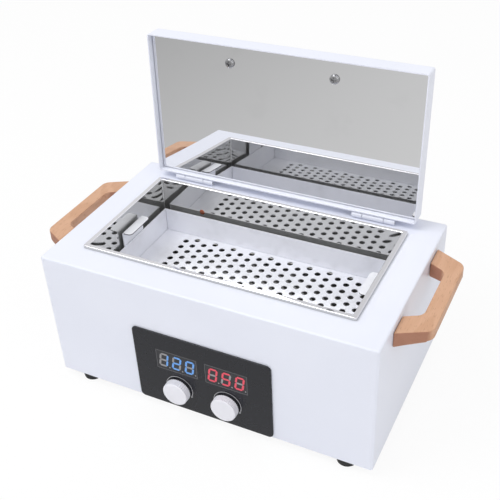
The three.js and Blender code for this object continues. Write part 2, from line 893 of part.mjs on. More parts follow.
// A shaft with a flat on its outer end, seen from the knob's own centre.
function controlShaft(name) {
  const inner = boardSetback - seatGap - controlBodyDepth + shaftInControl;
  const outer = knobBack - shaftInKnob;
  const bar = rod("y", shaftRadius, [outer, inner], [0, 0], knuckleSides);
  const flat = block(
    [-shaftRadius - overrun, shaftRadius + overrun],
    [outer - overrun, knobBack],
    [shaftFlatShare * shaftRadius, shaftRadius + overrun],
  );
  return piece(name, cut(bar, flat), satinSteel);
}

// A knob with a fluted, slightly tapered side and a smooth face.
function knob(name) {
  const ring = (radius, y, fluteDepth) => {
    const points = [];
    for (let i = 0; i < 2 * knobFlutes; i++) {
      const angle = (Math.PI * i) / knobFlutes;
      const r = radius - (i % 2) * fluteDepth;
      points.push(new THREE.Vector3(r * Math.cos(angle), y, r * Math.sin(angle)));
    }
    return points;
  };
  const body = lofted([
    ring(knobRadius, knobBack, knobFluteDepth),
    ring(knobFaceRadius, knobFace + knobCapHeight, knobFluteDepth),
    ring(knobCapRadius, knobFace, 0),
  ]);
  const boreSpan = [knobBack - shaftInKnob - seatGap, knobBack + overrun];
  const bore = rod("y", shaftRadius + seatGap, boreSpan, [0, 0], knuckleSides);
  return piece(name, cut(body, bore), whitePlastic);
}

function knobAssembly(label, sign) {
  const group = new THREE.Group();
  group.position.set((sign * knobSpacing) / 2, 0, knobZ);
  group.add(knob(`${label}_knob`), controlShaft(`${label}_shaft`));
  return group;
}

function tray() {
  const group = new THREE.Group();
  group.add(trayFrame(), trayFloor());
  for (const [side, sign] of sides) {
    group.add(trayHandle(`tray_handle_${side}`, sign));
  }
  return group;
}

// The tray's plan, widened all round by a margin.
function traySpans(margin) {
  return [
    span(0, 2 * (trayHalfLength + margin)),
    span(tankMiddle, 2 * (trayHalfWidth + margin)),
  ];
}

function trayFrame() {
  const [x, y] = traySpans(0);
  const ledgeTop = trayFloorTop - traySheet - seatGap;
  const bottom = ledgeTop - traySheet;
  const walls = block(inset(x, -traySheet), inset(y, -traySheet), [bottom, trayTop]);
  const hollow = block(x, y, [ledgeTop, trayTop + overrun]);
  const openFloor = block(inset(x, trayLedge), y, [bottom - overrun, trayFloorTop]);
  const legs = sides.flatMap(([, sign]) =>
    inset(y, trayLegInset).map((middle) =>
      block(
        span(sign * (trayHalfLength + traySheet / 2), traySheet),
        span(middle, trayLegWidth),
        [tankFloor + seatGap, ledgeTop],
      ),
    ),
  );
  const shell = cut(walls, hollow, openFloor);
  return piece("tray_frame", join(shell, ...legs), satinSteel);
}

// The perforated floor: columns of holes, every other column shifted by half a pitch.
function trayFloor() {
  const [x, y] = traySpans(-seatGap);
  const sheet = new THREE.Shape([
    new THREE.Vector2(x[0], y[0]),
    new THREE.Vector2(x[1], y[0]),
    new THREE.Vector2(x[1], y[1]),
    new THREE.Vector2(x[0], y[1]),
  ]);
  const columns = 1 + Math.floor((2 * (trayHalfLength - trayBlankEnd)) / trayHolePitchX);
  const edge = trayHoleMargin + trayHoleRadius;
  const rows = Math.floor((2 * (trayHalfWidth - edge)) / trayHolePitchY + 1 / 2);
  const firstX = trayHoleShift - ((columns - 1) * trayHolePitchX) / 2;
  const firstY = tankMiddle - ((rows - 1 / 2) * trayHolePitchY) / 2;
  for (let column = 0; column < columns; column++) {
    for (let row = 0; row < rows; row++) {
      const u = firstX + column * trayHolePitchX;
      const v = firstY + (row + (column % 2) / 2) * trayHolePitchY;
      sheet.holes.push(holeOutline(u, v));
    }
  }
  const floor = prism(sheet, "z", [trayFloorTop - traySheet, trayFloorTop]);
  return piece("tray_floor", floor, satinSteel);
}

function holeOutline(u, v) {
  const points = [];
  for (let i = 0; i < holeSides; i++) {
    const angle = (2 * Math.PI * (i + 1 / 2)) / holeSides;
    points.push(
      new THREE.Vector2(
        u + trayHoleRadius * Math.cos(angle),
        v + trayHoleRadius * Math.sin(angle),
      ),
    );
  }
  return new THREE.Path(points);
}

function trayHandle(name, sign) {
  const outer = trayHalfLength + traySheet + seatGap + tabSheet;
  const top = trayTop + tabRise;
  const bottom = trayTop - tabTail;
  const y = span(tankMiddle, tabWidth);
  const legX = [sign * outer, sign * (outer - tabSheet)].sort((a, b) => a - b);
  const leg = prism(
    roundedOutline([
      [y[0], top, 0],
      [y[0], bottom, tabCorner],
      [y[1], bottom, tabCorner],
      [y[1], top, 0],
    ]),
    "x",
    legX,
  );
  const tab = prism(
    roundedOutline([
      [sign * outer, y[0], 0],
      [sign * (outer - tabReach), y[0], tabCorner],
      [sign * (outer - tabReach), y[1], tabCorner],
      [sign * outer, y[1], 0],
    ]),
    "z",
    [top - tabSheet, top],
  );
  return piece(name, join(leg, tab), satinSteel);
}

// The lid is built closed, about the hinge axis, and then turned to where it rests open.
function lid() {
  const group = new THREE.Group();
  group.position.set(0, hingeY, hingeZ);
  group.rotation.x = -lidOpen;
  group.add(lidShell(), lidLiner(), lidPadding(), lidHandle());
  for (const [side, sign] of sides) {
    group.add(lidScrew(`lid_screw_${side}`, sign), lidLeaf(`hinge_lid_leaf_${side}`, sign));
  }
  return group;
}

const lidBottom = caseHeight + lidRise - hingeZ;
const lidTop = lidBottom + lidHeight;
const linerFace = rimTop + linerLift - hingeZ;
const lidHandleY = -hingeOffset - lidDepth + lidHandleSetback;

function lidSpans(margin) {
  return [
    inset(span(0, lidWidth), margin),
    inset([-hingeOffset - lidDepth, -hingeOffset], margin),
  ];
}

function lidScrewHoles(zSpan) {
  return sides.map(([, sign]) =>
    rod("z", handleScrewRadius + seatGap, zSpan, [(sign * handleBoltSpacing) / 2, lidHandleY]),
  );
}

function lidShell() {
  const [x, y] = lidSpans(0);
  const below = lidBottom - 2 * lidBend;
  const outside = foldedBox(x, y, [below, lidTop], lidBend, lidEdge);
  const inside = foldedBox(
    inset(x, lidSheet),
    inset(y, lidSheet),
    [below - overrun, lidTop - lidSheet],
    lidBend - lidSheet,
    lidEdge - lidSheet,
  );
  const trim = block(inset(x, -overrun), inset(y, -overrun), [below - overrun, lidBottom]);
  const holes = lidScrewHoles([lidTop - overrun, lidTop + overrun]);
  return piece("lid_shell", cut(outside, inside, trim, ...holes), whitePaint);
}

function lidLiner() {
  const [x, y] = lidSpans(lidSheet + linerGap);
  const outside = block(x, y, [linerFace, linerFace + linerFlange]);
  const inside = block(
    inset(x, linerSheet),
    inset(y, linerSheet),
    [linerFace + linerSheet, linerFace + linerFlange + overrun],
  );
  const holes = lidScrewHoles([linerFace - overrun, linerFace + overrun]);
  return piece("lid_liner", cut(outside, inside, ...holes), mirrorSteel);
}

function lidPadding() {
  const [x, y] = lidSpans(lidSheet + linerGap + linerSheet + seatGap);
  const z = [linerFace + linerSheet + seatGap, lidTop - lidSheet - seatGap];
  const holes = lidScrewHoles([z[0] - overrun, z[1] + overrun]);
  return piece("lid_insulation", cut(block(x, y, z), ...holes), mineralWool);
}

function lidScrew(name, sign) {
  const under = linerFace - seatGap;
  const profile = [
    [0, under - lidScrewHeadHeight],
    [lidScrewHeadRadius / 2, under - lidScrewHeadHeight],
    [lidScrewHeadRadius, under - lidScrewHeadHeight / 3],
    [lidScrewHeadRadius, under],
    [handleScrewRadius, under],
    [handleScrewRadius, lidTop + handleScrewBite],
    [0, lidTop + handleScrewBite],
  ];
  const x = (sign * handleBoltSpacing) / 2;
  const screw = turned(profile, "z", [x, lidHandleY, 0], knuckleSides);
  const slotZ = [under - lidScrewHeadHeight - overrun, under - lidScrewHeadHeight + crossSlotDepth];
  const slotLength = lidScrewHeadRadius;
  const cross = [
    block(span(x, slotLength), span(lidHandleY, crossSlotWidth), slotZ),
    block(span(x, crossSlotWidth), span(lidHandleY, slotLength), slotZ),
  ];
  return piece(name, cut(screw, ...cross), chrome);
}

// The outline of a wooden handle: u along the wall, v away from it.
function handleOutline() {
  const wallHalf = handleLength / 2;
  const faceHalf = handleFaceLength / 2;
  const openHalf = handleOpeningLength / 2;
  const gripHalf = handleOpeningGripLength / 2;
  const gripInner = handleReach - handleGripThickness;
  return roundedOutline([
    [-wallHalf, 0, 0],
    [-openHalf, 0, 0],
    [-gripHalf, gripInner, handleInnerRound],
    [gripHalf, gripInner, handleInnerRound],
    [openHalf, 0, 0],
    [wallHalf, 0, 0],
    [faceHalf, handleReach, handleOuterRound],
    [-faceHalf, handleReach, handleOuterRound],
  ]);
}

// A handle standing on its own middle: length along X, reach along Y, thickness along Z.
function woodenHandle() {
  const bar = easedPrism(
    handleOutline(),
    "z",
    span(0, handleThickness),
    handleEase,
    woodArcSteps,
  );
  const bores = span(0, handleBoltSpacing).map((u) =>
    rod(
      "y",
      handleScrewRadius + seatGap,
      [-overrun, handleScrewBite + seatGap],
      [u, 0],
    ),
  );
  return cut(bar, ...bores);
}

function lidHandle() {
  const handle = piece("lid_handle", woodenHandle(), beech);
  handle.rotation.x = Math.PI / 2;
  handle.position.set(0, lidHandleY, lidTop + seatGap);
  return handle;
}

function sideHandle(name, sign) {
  const handle = piece(name, woodenHandle(), beech);
  handle.rotation.z = (-sign * Math.PI) / 2;
  handle.position.set(sign * (halfCase + seatGap), caseMiddle, sideHandleZ);
  return handle;
}

function handleScrewPlaces() {
  return sides.flatMap(([side, sign]) =>
    [
      ["front", -1],
      ["rear", 1],
    ].map(([end, along]) => ({
      label: `${side}_${end}`,
      sign,
      y: caseMiddle + (along * handleBoltSpacing) / 2,
    })),
  );
}

function sideHandleScrew({ label, sign, y }) {
  const under = halfCase - caseSheet - seatGap;
  const tip = halfCase + handleScrewBite;
  const profile = [
    [0, under - handleScrewHeadHeight],
    [handleScrewHeadRadius - handleScrewHeadHeight / 2, under - handleScrewHeadHeight],
    [handleScrewHeadRadius, under - handleScrewHeadHeight / 2],
    [handleScrewHeadRadius, under],
    [handleScrewRadius, under],
    [handleScrewRadius, tip],
    [0, tip],
  ];
  const mirrored = profile.map(([radius, place]) => [radius, sign * place]);
  const ordered = sign > 0 ? mirrored : mirrored.reverse();
  return piece(
    `side_handle_screw_${label}`,
    turned(ordered, "x", [0, y, sideHandleZ], boltSides),
    zincSteel,
  );
}

// The stretches of the knuckles along X: outer ones on the case leaf, the middle one on the lid.
function knuckleSpans(centre) {
  const whole = span(centre, hingeLength);
  const middle = span(centre, hingeLength * middleKnuckleShare);
  return {
    middle: inset(middle, seatGap / 2),
    outer: [
      [whole[0], middle[0] - seatGap / 2],
      [middle[1] + seatGap / 2, whole[1]],
    ],
  };
}

function hingeCentre(sign) {
  return sign * (lidWidth / 2 - hingeInset);
}

// Space that the turning knuckle needs beside the flat of a leaf.
const knuckleClear = knuckleRadius + seatGap;

function caseLeaf(name, sign) {
  const centre = hingeCentre(sign);
  const { outer } = knuckleSpans(centre);
  const flatZ = [hingeZ - knuckleRadius, hingeZ - knuckleRadius + leafSheet];
  const flat = block(span(centre, hingeLength), [hingeY + knuckleClear, hingeY + leafReach], flatZ);
  const arms = outer.map((x) => block(x, [hingeY, hingeY + leafReach / 2], flatZ));
  const knuckles = outer.map((x) => rod("x", knuckleRadius, x, [hingeY, hingeZ], knuckleSides));
  const bore = rod(
    "x",
    hingePinRadius + seatGap,
    span(centre, hingeLength + 2 * overrun),
    [hingeY, hingeZ],
    knuckleSides,
  );
  return piece(name, cut(join(flat, ...arms, ...knuckles), bore), whitePaint);
}

function hingePin(name, sign) {
  const x = span(hingeCentre(sign), hingeLength);
  return piece(name, rod("x", hingePinRadius, x, [hingeY, hingeZ], knuckleSides), zincSteel);
}

// The leaf on the lid, closed. Its turned far edge lands on the case leaf when the lid is open.
function lidLeaf(name, sign) {
  const centre = hingeCentre(sign);
  const { middle } = knuckleSpans(centre);
  const flatY = [seatGap - hingeOffset, seatGap - hingeOffset + leafSheet];
  const flat = block(span(centre, hingeLength), flatY, [knuckleClear, lidLeafReach]);
  const stopHeight = knuckleRadius - leafSheet - seatGap;
  const stopTip = (stopHeight + lidLeafReach * Math.cos(lidOpen)) / Math.sin(lidOpen);
  const stop = block(
    span(centre, hingeLength),
    [flatY[0], stopTip],
    [lidLeafReach - leafSheet, lidLeafReach],
  );
  const arm = block(middle, flatY, [0, lidLeafReach / 2]);
  const knuckle = rod("x", knuckleRadius, middle, [0, 0], knuckleSides);
  const bore = rod(
    "x",
    hingePinRadius + seatGap,
    span(centre, hingeLength + 2 * overrun),
    [0, 0],
    knuckleSides,
  );
  return piece(name, cut(join(flat, stop, arm, knuckle), bore), whitePaint);
}

function powerBoard() {
  const x = span(powerBoardOffset, powerBoardLength);
  const y = span(caseMiddle, powerBoardWidth);
  return piece("power_board", block(x, y, [powerBoardUnder, powerBoardTop]), circuitGreen);
}

function transformer() {
  const x = powerBoardOffset - powerBoardLength / 2 + partInset + transformerLength / 2;
  const bottom = powerBoardTop + seatGap;
  const core = block(
    span(x, transformerLength),
    span(caseMiddle, transformerWidth),
    [bottom, bottom + transformerHeight],
  );
  const coil = easedPrism(
    roundedRectangle(
      span(x, transformerLength / 2),
      span(caseMiddle, transformerWidth + 2 * transformerCoilBulge),
      transformerCoilBulge,
    ),
    "z",
    inset([bottom, bottom + transformerHeight], transformerCoilBulge),
    caseSheet,
  );
  return piece("transformer", join(core, coil), coreSteel);
}

function relay() {
  const x = powerBoardOffset + powerBoardLength / 2 - partInset - relayLength / 2;
  const foot = powerBoardTop + seatGap;
  const body = block(
    span(x, relayLength),
    span(caseMiddle, relayWidth),
    [foot + relayPinLength, foot + relayPinLength + relayHeight],
  );
  const pins = inset(span(x, relayLength), 2 * relayPinRadius).flatMap((a) =>
    inset(span(caseMiddle, relayWidth), 2 * relayPinRadius).map((b) =>
      rod("z", relayPinRadius, [foot, foot + relayPinLength + relayPinRadius], [a, b]),
    ),
  );
  return piece("relay", join(body, ...pins), blackPlastic);
}

function powerInlet() {
  const face = caseDepth + seatGap + inletFlangeThickness;
  const flange = prism(
    roundedRectangle(
      span(inletOffset, inletFlangeWidth),
      span(inletRise, inletFlangeHeight),
      inletFlangeThickness,
    ),
    "y",
    [caseDepth + seatGap, face],
  );
  const body = block(
    span(inletOffset, inletBodyWidth),
    [face - inletBodyDepth, face - inletFlangeThickness / 2],
    span(inletRise, inletBodyHeight),
  );
  const [u0, u1] = span(inletOffset, inletSocketWidth);
  const [v0, v1] = span(inletRise, inletSocketHeight);
  const c = inletSocketChamfer;
  const socketOutline = new THREE.Shape(
    [
      [u0, v0],
      [u1, v0],
      [u1, v1 - c],
      [u1 - c, v1],
      [u0 + c, v1],
      [u0, v1 - c],
    ].map(([u, v]) => new THREE.Vector2(u, v)),
  );
  const socket = prism(socketOutline, "y", [face - inletSocketDepth, face + overrun]);
  const pinPlaces = [
    [-inletPinSpacing / 2, 0],
    [0, inletEarthRaise],
    [inletPinSpacing / 2, 0],
  ];
  const pins = pinPlaces.map(([u, v]) =>
    block(
      span(inletOffset + u, inletPinWidth),
      [face - inletSocketDepth - seatGap, face - inletSocketDepth + inletPinLength],
      span(inletRise + v, inletPinHeight),
    ),
  );
  return piece("power_inlet", join(cut(join(flange, body), socket), ...pins), blackPlastic);
}

const switchFace = caseDepth + seatGap + switchFlangeThickness;

function switchHousing() {
  const flange = prism(
    roundedRectangle(
      span(switchOffset, switchFlangeWidth),
      span(inletRise, switchFlangeHeight),
      switchWall,
    ),
    "y",
    [caseDepth + seatGap, switchFace],
  );
  const x = span(switchOffset, switchBodyWidth);
  const z = span(inletRise, switchBodyHeight);
  const body = block(x, [switchFace - switchBodyDepth, switchFace - switchFlangeThickness / 2], z);
  const well = block(
    inset(x, switchWall),
    [switchFace - 2 * rockerRadius, switchFace + overrun],
    inset(z, switchWall),
  );
  return piece("switch_housing", cut(join(flange, body), well), blackPlastic);
}

// The rocker turns about a line along X behind its face. At rest its upper end is pressed in, and
// its half length is what the well leaves it at that tilt.
function rockerAssembly() {
  const width = switchBodyWidth - 2 * (switchWall + seatGap);
  const tilt = THREE.MathUtils.degToRad(rockerTilt);
  const pivotDepth = rockerRadius + seatGap;
  const raised = pivotDepth + rockerStand;
  const room = switchBodyHeight / 2 - switchWall - seatGap;
  const half = (room - raised * Math.sin(tilt)) / (Math.cos(tilt) - Math.sin(tilt) ** 2);
  const wingOut = raised - half * Math.sin(tilt);
  const middleOut = wingOut - half * Math.tan(tilt);
  const wingBack = half * Math.tan(2 * tilt);
  const outline = new THREE.Shape(
    [
      [wingOut, -half],
      [middleOut, 0],
      [wingOut, half],
      [wingBack, half],
      [-rockerRadius / 2, rockerRadius / 2],
      [-rockerRadius / 2, -rockerRadius / 2],
      [wingBack, -half],
    ].map(([out, up]) => new THREE.Vector2(out, up)),
  );
  const group = new THREE.Group();
  group.position.set(switchOffset, switchFace - pivotDepth, inletRise);
  group.rotation.x = tilt;
  group.add(piece("power_rocker", prism(outline, "x", span(0, width)), blackPlastic));
  return group;
}

// Cables that stay inside the case
function heaterCable() {
  const y = tankMiddle + heaterWidth / 2 + heaterTerminalLength / 2;
  const boardY = caseMiddle + powerBoardWidth / 2 - partInset;
  const top = heaterUnder - seatGap;
  const bottom = powerBoardTop + seatGap;
  const x = powerBoardOffset + heaterTerminalSpacing / 2;
  const route = [
    [x, y, top],
    [x, y, top - 2 * jacketThickness],
    [x, (y + boardY) / 2, (top + bottom) / 3],
    [x, boardY, bottom + jacketThickness / 2],
    [x, boardY, bottom],
  ];
  return piece("heater_cable", cable(route, roundSection(cableRadius)), cableGrey);
}

function displayRibbon() {
  const [, boardZ] = boardSpans();
  const front = boardSetback + boardThickness + seatGap;
  const z = boardZ[0] + ribbonWidth / 2;
  const end = caseMiddle - powerBoardWidth / 2 - seatGap;
  const level = powerBoardUnder + boardThickness / 2;
  const route = [
    [powerBoardOffset, front, z],
    [powerBoardOffset, front + ribbonWidth / 2, z],
    [powerBoardOffset, (front + end) / 2, (z + level) / 2],
    [powerBoardOffset, end - ribbonWidth / 2, level],
    [powerBoardOffset, end, level],
  ];
  const section = new THREE.Shape(
    [
      [-1, -1],
      [1, -1],
      [1, 1],
      [-1, 1],
    ].map(([u, v]) => new THREE.Vector2((u * ribbonThickness) / 2, (v * ribbonWidth) / 2)),
  );
  return piece("display_ribbon", cable(route, section), cableGrey);
}

function mainsCables() {
  const inletBack = caseDepth + seatGap + inletFlangeThickness - inletBodyDepth - seatGap;
  const switchBack = switchFace - switchBodyDepth - seatGap;
  const bend = inletBodyDepth / 2;
  const boardEdge = powerBoardOffset - powerBoardLength / 2;
  const level = powerBoardUnder + boardThickness / 2;
  const low = inletRise - switchBodyHeight / 4;
  const high = inletRise + switchBodyHeight / 4;
  const toSwitch = [
    [inletOffset, inletBack, high],
    [inletOffset, inletBack - bend / 2, high],
    [(inletOffset + switchOffset) / 2, inletBack - bend, high],
    [switchOffset, switchBack - bend / 2, high],
    [switchOffset, switchBack, high],
  ];
  const toBoard = [
    [switchOffset, switchBack, low],
    [switchOffset, switchBack - bend, low],
    [(switchOffset + boardEdge) / 2, (switchBack + caseMiddle) / 2, (low + level) / 2],
    [boardEdge - bend, caseMiddle, level],
    [boardEdge - seatGap, caseMiddle, level],
  ];
  const section = roundSection(cableRadius);
  return [
    piece("switch_cable", cable(toSwitch, section), cableGrey),
    piece("mains_cable", cable(toBoard, section), cableGrey),
  ];
}

function sterilizer() {
  const standing = new THREE.Group();
  standing.add(outerCase(), basePlate());
  footPlaces().forEach((place) => standing.add(...footWithScrew(place)));
  standing.add(innerTank(), heaterPlate(), clampPlate(), insulationJacket());
  standing.add(thermalCutout(), temperatureProbe());
  standing.add(frontOverlay(), controlBoard());
  standing.add(display("time_display", -1), display("temperature_display", 1));
  standing.add(rotaryControl("time_control", -1), rotaryControl("temperature_control", 1));
  standing.add(powerBoard(), transformer(), relay(), powerInlet(), switchHousing());
  standing.add(heaterCable(), displayRibbon(), ...mainsCables());
  for (const [side, sign] of sides) {
    standing.add(sideHandle(`side_handle_${side}`, sign));
    standing.add(caseLeaf(`hinge_case_leaf_${side}`, sign), hingePin(`hinge_pin_${side}`, sign));
  }
  handleScrewPlaces().forEach((place) => standing.add(sideHandleScrew(place)));
  standing.add(tray(), lid(), rockerAssembly());
  standing.add(knobAssembly("time", -1), knobAssembly("temperature", 1));

  // The rearmost point at rest is the lid handle's grip, with the lid open.
  const gripOut = lidTop + seatGap + handleReach;
  const gripSide = lidHandleY - handleThickness / 2 + handleEase;
  const rearmost = hingeY + gripSide * Math.cos(lidOpen) + gripOut * Math.sin(lidOpen);
  standing.position.set(0, -(knobFace + rearmost) / 2, footHeight);
  const whole = new THREE.Group();
  whole.add(standing);
  return whole;
}

export default sterilizer();
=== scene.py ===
"""Dresses a bench-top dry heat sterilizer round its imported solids.

The white case, the polished tank with its lift-out tray, the lid, the wooden handles, the front
panel and the rear fittings are modelled here over their plain solids, and every piece gets its
finish. Lengths are in metres: X to the right of someone facing the panel, Y to the back, Z up.
"""

from __future__ import annotations

import logging
import math
from collections.abc import Callable, Iterable, Iterator
from contextlib import contextmanager
from dataclasses import dataclass
from enum import Enum

import bmesh
import bpy
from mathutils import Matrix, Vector


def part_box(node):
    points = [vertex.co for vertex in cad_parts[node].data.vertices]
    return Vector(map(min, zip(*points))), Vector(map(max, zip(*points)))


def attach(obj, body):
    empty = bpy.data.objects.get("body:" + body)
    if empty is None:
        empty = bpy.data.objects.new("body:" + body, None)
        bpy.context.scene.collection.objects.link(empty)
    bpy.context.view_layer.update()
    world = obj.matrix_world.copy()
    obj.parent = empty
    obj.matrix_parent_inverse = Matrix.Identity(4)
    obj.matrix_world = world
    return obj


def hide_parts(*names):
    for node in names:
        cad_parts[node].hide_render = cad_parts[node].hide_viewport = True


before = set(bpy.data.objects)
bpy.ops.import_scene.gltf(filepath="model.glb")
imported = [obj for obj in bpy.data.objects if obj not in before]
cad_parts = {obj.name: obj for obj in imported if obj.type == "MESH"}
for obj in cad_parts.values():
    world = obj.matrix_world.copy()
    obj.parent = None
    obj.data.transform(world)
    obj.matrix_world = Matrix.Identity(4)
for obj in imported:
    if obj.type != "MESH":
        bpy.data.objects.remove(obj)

Pair = tuple[float, float]
Triple = tuple[float, float, float]
Test = Callable[[Vector, Vector], bool]

LOG = logging.getLogger("sterilizer")
MM = 0.001
CLOSE = 0.01 * MM
ORIGIN: Triple = (0.0, 0.0, 0.0)
UPSIDE_DOWN: Triple = (math.pi, 0.0, 0.0)
DIALS = ("time", "temperature")
BUSHING_HOLE = 3.8 * MM
SCREW_HOLE = 2.3 * MM


class Axis(Enum):
    """A direction of the row frame, by its place in a vector."""

    X = 0
    Y = 1
    Z = 2

    def turn(self) -> Triple:
        """The Euler angles that turn Z onto the axis."""
        return ((0.0, math.pi / 2, 0.0), (-math.pi / 2, 0.0, 0.0), ORIGIN)[self.value]

    def step(self, length: float) -> Triple:
        """A move of this length along the axis."""
        return tuple(length if place == self.value else 0.0 for place in range(3))


class Pick(Enum):
    """What a selection is made of."""

    POINTS = "VERT"
    EDGES = "EDGE"
    FACES = "FACE"


class Side(Enum):
    """The two sides of the object, with the sign of X there."""

    LEFT = -1
    RIGHT = 1

    @property
    def label(self) -> str:
        """The side's word in the names of pieces."""
        return self.name.lower()


class Lit(Enum):
    """Which segments a digit lights, by the usual letters a to g."""

    ZERO = "abcdef"
    ONE = "bc"
    TWO = "abged"
    FIVE = "afgcd"


class Mixed(Enum):
    """What a Mix node blends: its data type, its two sockets and its output."""

    COLORS = ("RGBA", 6, 7, 2)
    VECTORS = ("VECTOR", 4, 5, 1)


class Wire:
    """One output of a material's nodes. Arithmetic on wires adds Math nodes."""

    def __init__(self, recipe: Recipe, socket: bpy.types.NodeSocket) -> None:
        """Keeps the recipe that owns the node, and the node's output socket."""
        self.recipe = recipe
        self.socket = socket

    def _math(self, operation: str, *terms: Wire | float) -> Wire:
        """Adds a Math node that works on these terms."""
        return self.recipe.node("ShaderNodeMath", {"operation": operation}, dict(enumerate(terms)))

    def __add__(self, other: Wire | float) -> Wire:
        """Adds."""
        return self._math("ADD", self, other)

    def __radd__(self, other: float) -> Wire:
        """Adds to a number."""
        return self._math("ADD", other, self)

    def __sub__(self, other: Wire | float) -> Wire:
        """Subtracts."""
        return self._math("SUBTRACT", self, other)

    def __rsub__(self, other: float) -> Wire:
        """Subtracts from a number."""
        return self._math("SUBTRACT", other, self)

    def __mul__(self, other: Wire | float) -> Wire:
        """Multiplies."""
        return self._math("MULTIPLY", self, other)

    def __rmul__(self, other: float) -> Wire:
        """Multiplies a number."""
        return self._math("MULTIPLY", other, self)

    def __abs__(self) -> Wire:
        """Drops the sign."""
        return self._math("ABSOLUTE", self)

    def repeated(self, pitch: float) -> Wire:
        """The distance past the last multiple of a pitch."""
        return self._math("FLOORED_MODULO", self, pitch)

    def most(self, other: Wire | float) -> Wire:
        """The larger of two values."""
        return self._math("MAXIMUM", self, other)

    def rise(self, low: float, high: float) -> Wire:
        """A smooth step: zero up to low, and one from high on."""
        return self.recipe.node(
            "ShaderNodeMapRange",
            {"interpolation_type": "SMOOTHSTEP"},
            {"Value": self, "From Min": low, "From Max": high},
        )


Term = Wire | float | Triple


class Recipe:
    """The node tree of one material, or of the world."""

    def __init__(self, owner: bpy.types.Material | bpy.types.World) -> None:
        """Empties the owner's tree."""
        owner.use_nodes = True
        self.owner = owner
        self.tree = owner.node_tree
        self.tree.nodes.clear()

    @classmethod
    def material(cls, name: str) -> Recipe:
        """Starts a new material."""
        return cls(bpy.data.materials.new(name))

    def node(
        self,
        kind: str,
        settings: dict[str, object] | None = None,
        inputs: dict[str | int, Term] | None = None,
        output: int | str = 0,
    ) -> Wire:
        """Adds a node.

        Args:
            kind: The node's type.
            settings: The node's own properties, which are set first.
            inputs: Values or wires for its sockets, by name or number.
            output: The output that is wanted, by name or number.

        Returns:
            The wire from that output.
        """
        node = self.tree.nodes.new(kind)
        for key, value in (settings or {}).items():
            setattr(node, key, value)
        for key, value in (inputs or {}).items():
            self._feed(node.inputs[key], value)
        return Wire(self, node.outputs[output])

    def _feed(self, socket: bpy.types.NodeSocket, value: Term) -> None:
        """Links a wire to a socket, or sets the socket's own value.

        Args:
            socket: The socket.
            value: The wire or the value.
        """
        if isinstance(value, Wire):
            self.tree.links.new(value.socket, socket)
        elif isinstance(value, tuple) and socket.type == "RGBA":
            socket.default_value = (*value, 1.0)
        else:
            socket.default_value = value

    def close(self, shader: Wire, end: str = "ShaderNodeOutputMaterial") -> bpy.types.ID:
        """Links a shader to the output, and returns the tree's owner."""
        self._feed(self.tree.nodes.new(end).inputs["Surface"], shader)
        return self.owner

    def place(self) -> Wire:
        """Object coordinates, which are the row frame's metres."""
        return self.node("ShaderNodeTexCoord", output="Object")

    def along(self, axis: Axis, where: Wire | None = None) -> Wire:
        """One coordinate of the place, or of another vector."""
        source = {"Vector": where or self.place()}
        return self.node("ShaderNodeSeparateXYZ", inputs=source, output=axis.name)

    def mapped(self, scale: Triple) -> Wire:
        """The place, stretched for a pattern."""
        return self.node("ShaderNodeMapping", inputs={"Vector": self.place(), "Scale": scale})

    def noise(
        self, size: float, detail: float = 3.0, where: Wire | None = None, roughness: float = 0.5
    ) -> Wire:
        """Adds noise.

        Args:
            size: The size of its features in metres.
            detail: How many finer layers it has.
            where: The place that it reads, if not the plain one.
            roughness: How strong the finer layers are.

        Returns:
            A value about one half.
        """
        settings = {"Scale": 1.0 / size, "Detail": detail, "Roughness": roughness}
        return self.node(
            "ShaderNodeTexNoise", inputs={"Vector": where or self.place(), **settings}
        )

    def cells(self, size: float, feature: str = "F1", output: str = "Distance") -> Wire:
        """A Voronoi pattern whose cells have this size in metres."""
        inputs = {"Vector": self.place(), "Scale": 1.0 / size}
        return self.node("ShaderNodeTexVoronoi", {"feature": feature}, inputs, output)

    def flakes(self, size: float) -> Wire:
        """A different value for each cell of this size."""
        cells = self.cells(size, output="Color")
        return self.node("ShaderNodeRGBToBW", inputs={"Color": cells})

    def blend(
        self, mask: Wire | float, first: Term, second: Term, kind: Mixed = Mixed.COLORS
    ) -> Wire:
        """Blends two colours, or two directions.

        Args:
            mask: How far the blend goes, from zero to one.
            first: What there is at zero.
            second: What there is at one.
            kind: Colours or directions.

        Returns:
            The blend.
        """
        data_type, low, high, output = kind.value
        inputs = {0: mask, low: first, high: second}
        return self.node("ShaderNodeMix", {"data_type": data_type}, inputs, output)

    def bump(self, height: Wire, depth: float, strength: float = 1.0) -> Wire:
        """A normal from a height between zero and one, which stands for this depth."""
        inputs = {"Height": height, "Distance": depth, "Strength": strength}
        return self.node("ShaderNodeBump", inputs=inputs)

    def ray(self, kind: str) -> Wire:
        """One where the light path's ray is of this kind, and zero elsewhere."""
        return self.node("ShaderNodeLightPath", output=f"Is {kind} Ray")

    def mirrored(self) -> Wire:
        """One for rays that metal or glass sends on, and zero for others."""
        return self.ray("Glossy").most(self.ray("Transmission"))


def dimmed(color: Triple, share: float) -> Triple:
    """A colour taken down to this share."""
    return tuple(share * part for part in color)


@dataclass(frozen=True)
class Finish:
    """A finish that a piece can be given. Each kind says what feeds its shader."""

    name: str
    slot: str

    def sockets(self, r: Recipe) -> dict[str, Term]:
        """What feeds the shader's sockets in a recipe."""
        raise NotImplementedError

    def material(self) -> bpy.types.Material:
        """Makes the finish's material, once.

        Returns:
            The material.
        """
        made = bpy.data.materials.get(self.name)
        if made is None:
            r = Recipe.material(self.name)
            made = r.close(r.node("ShaderNodeBsdfPrincipled", inputs=self.sockets(r)))
        return made


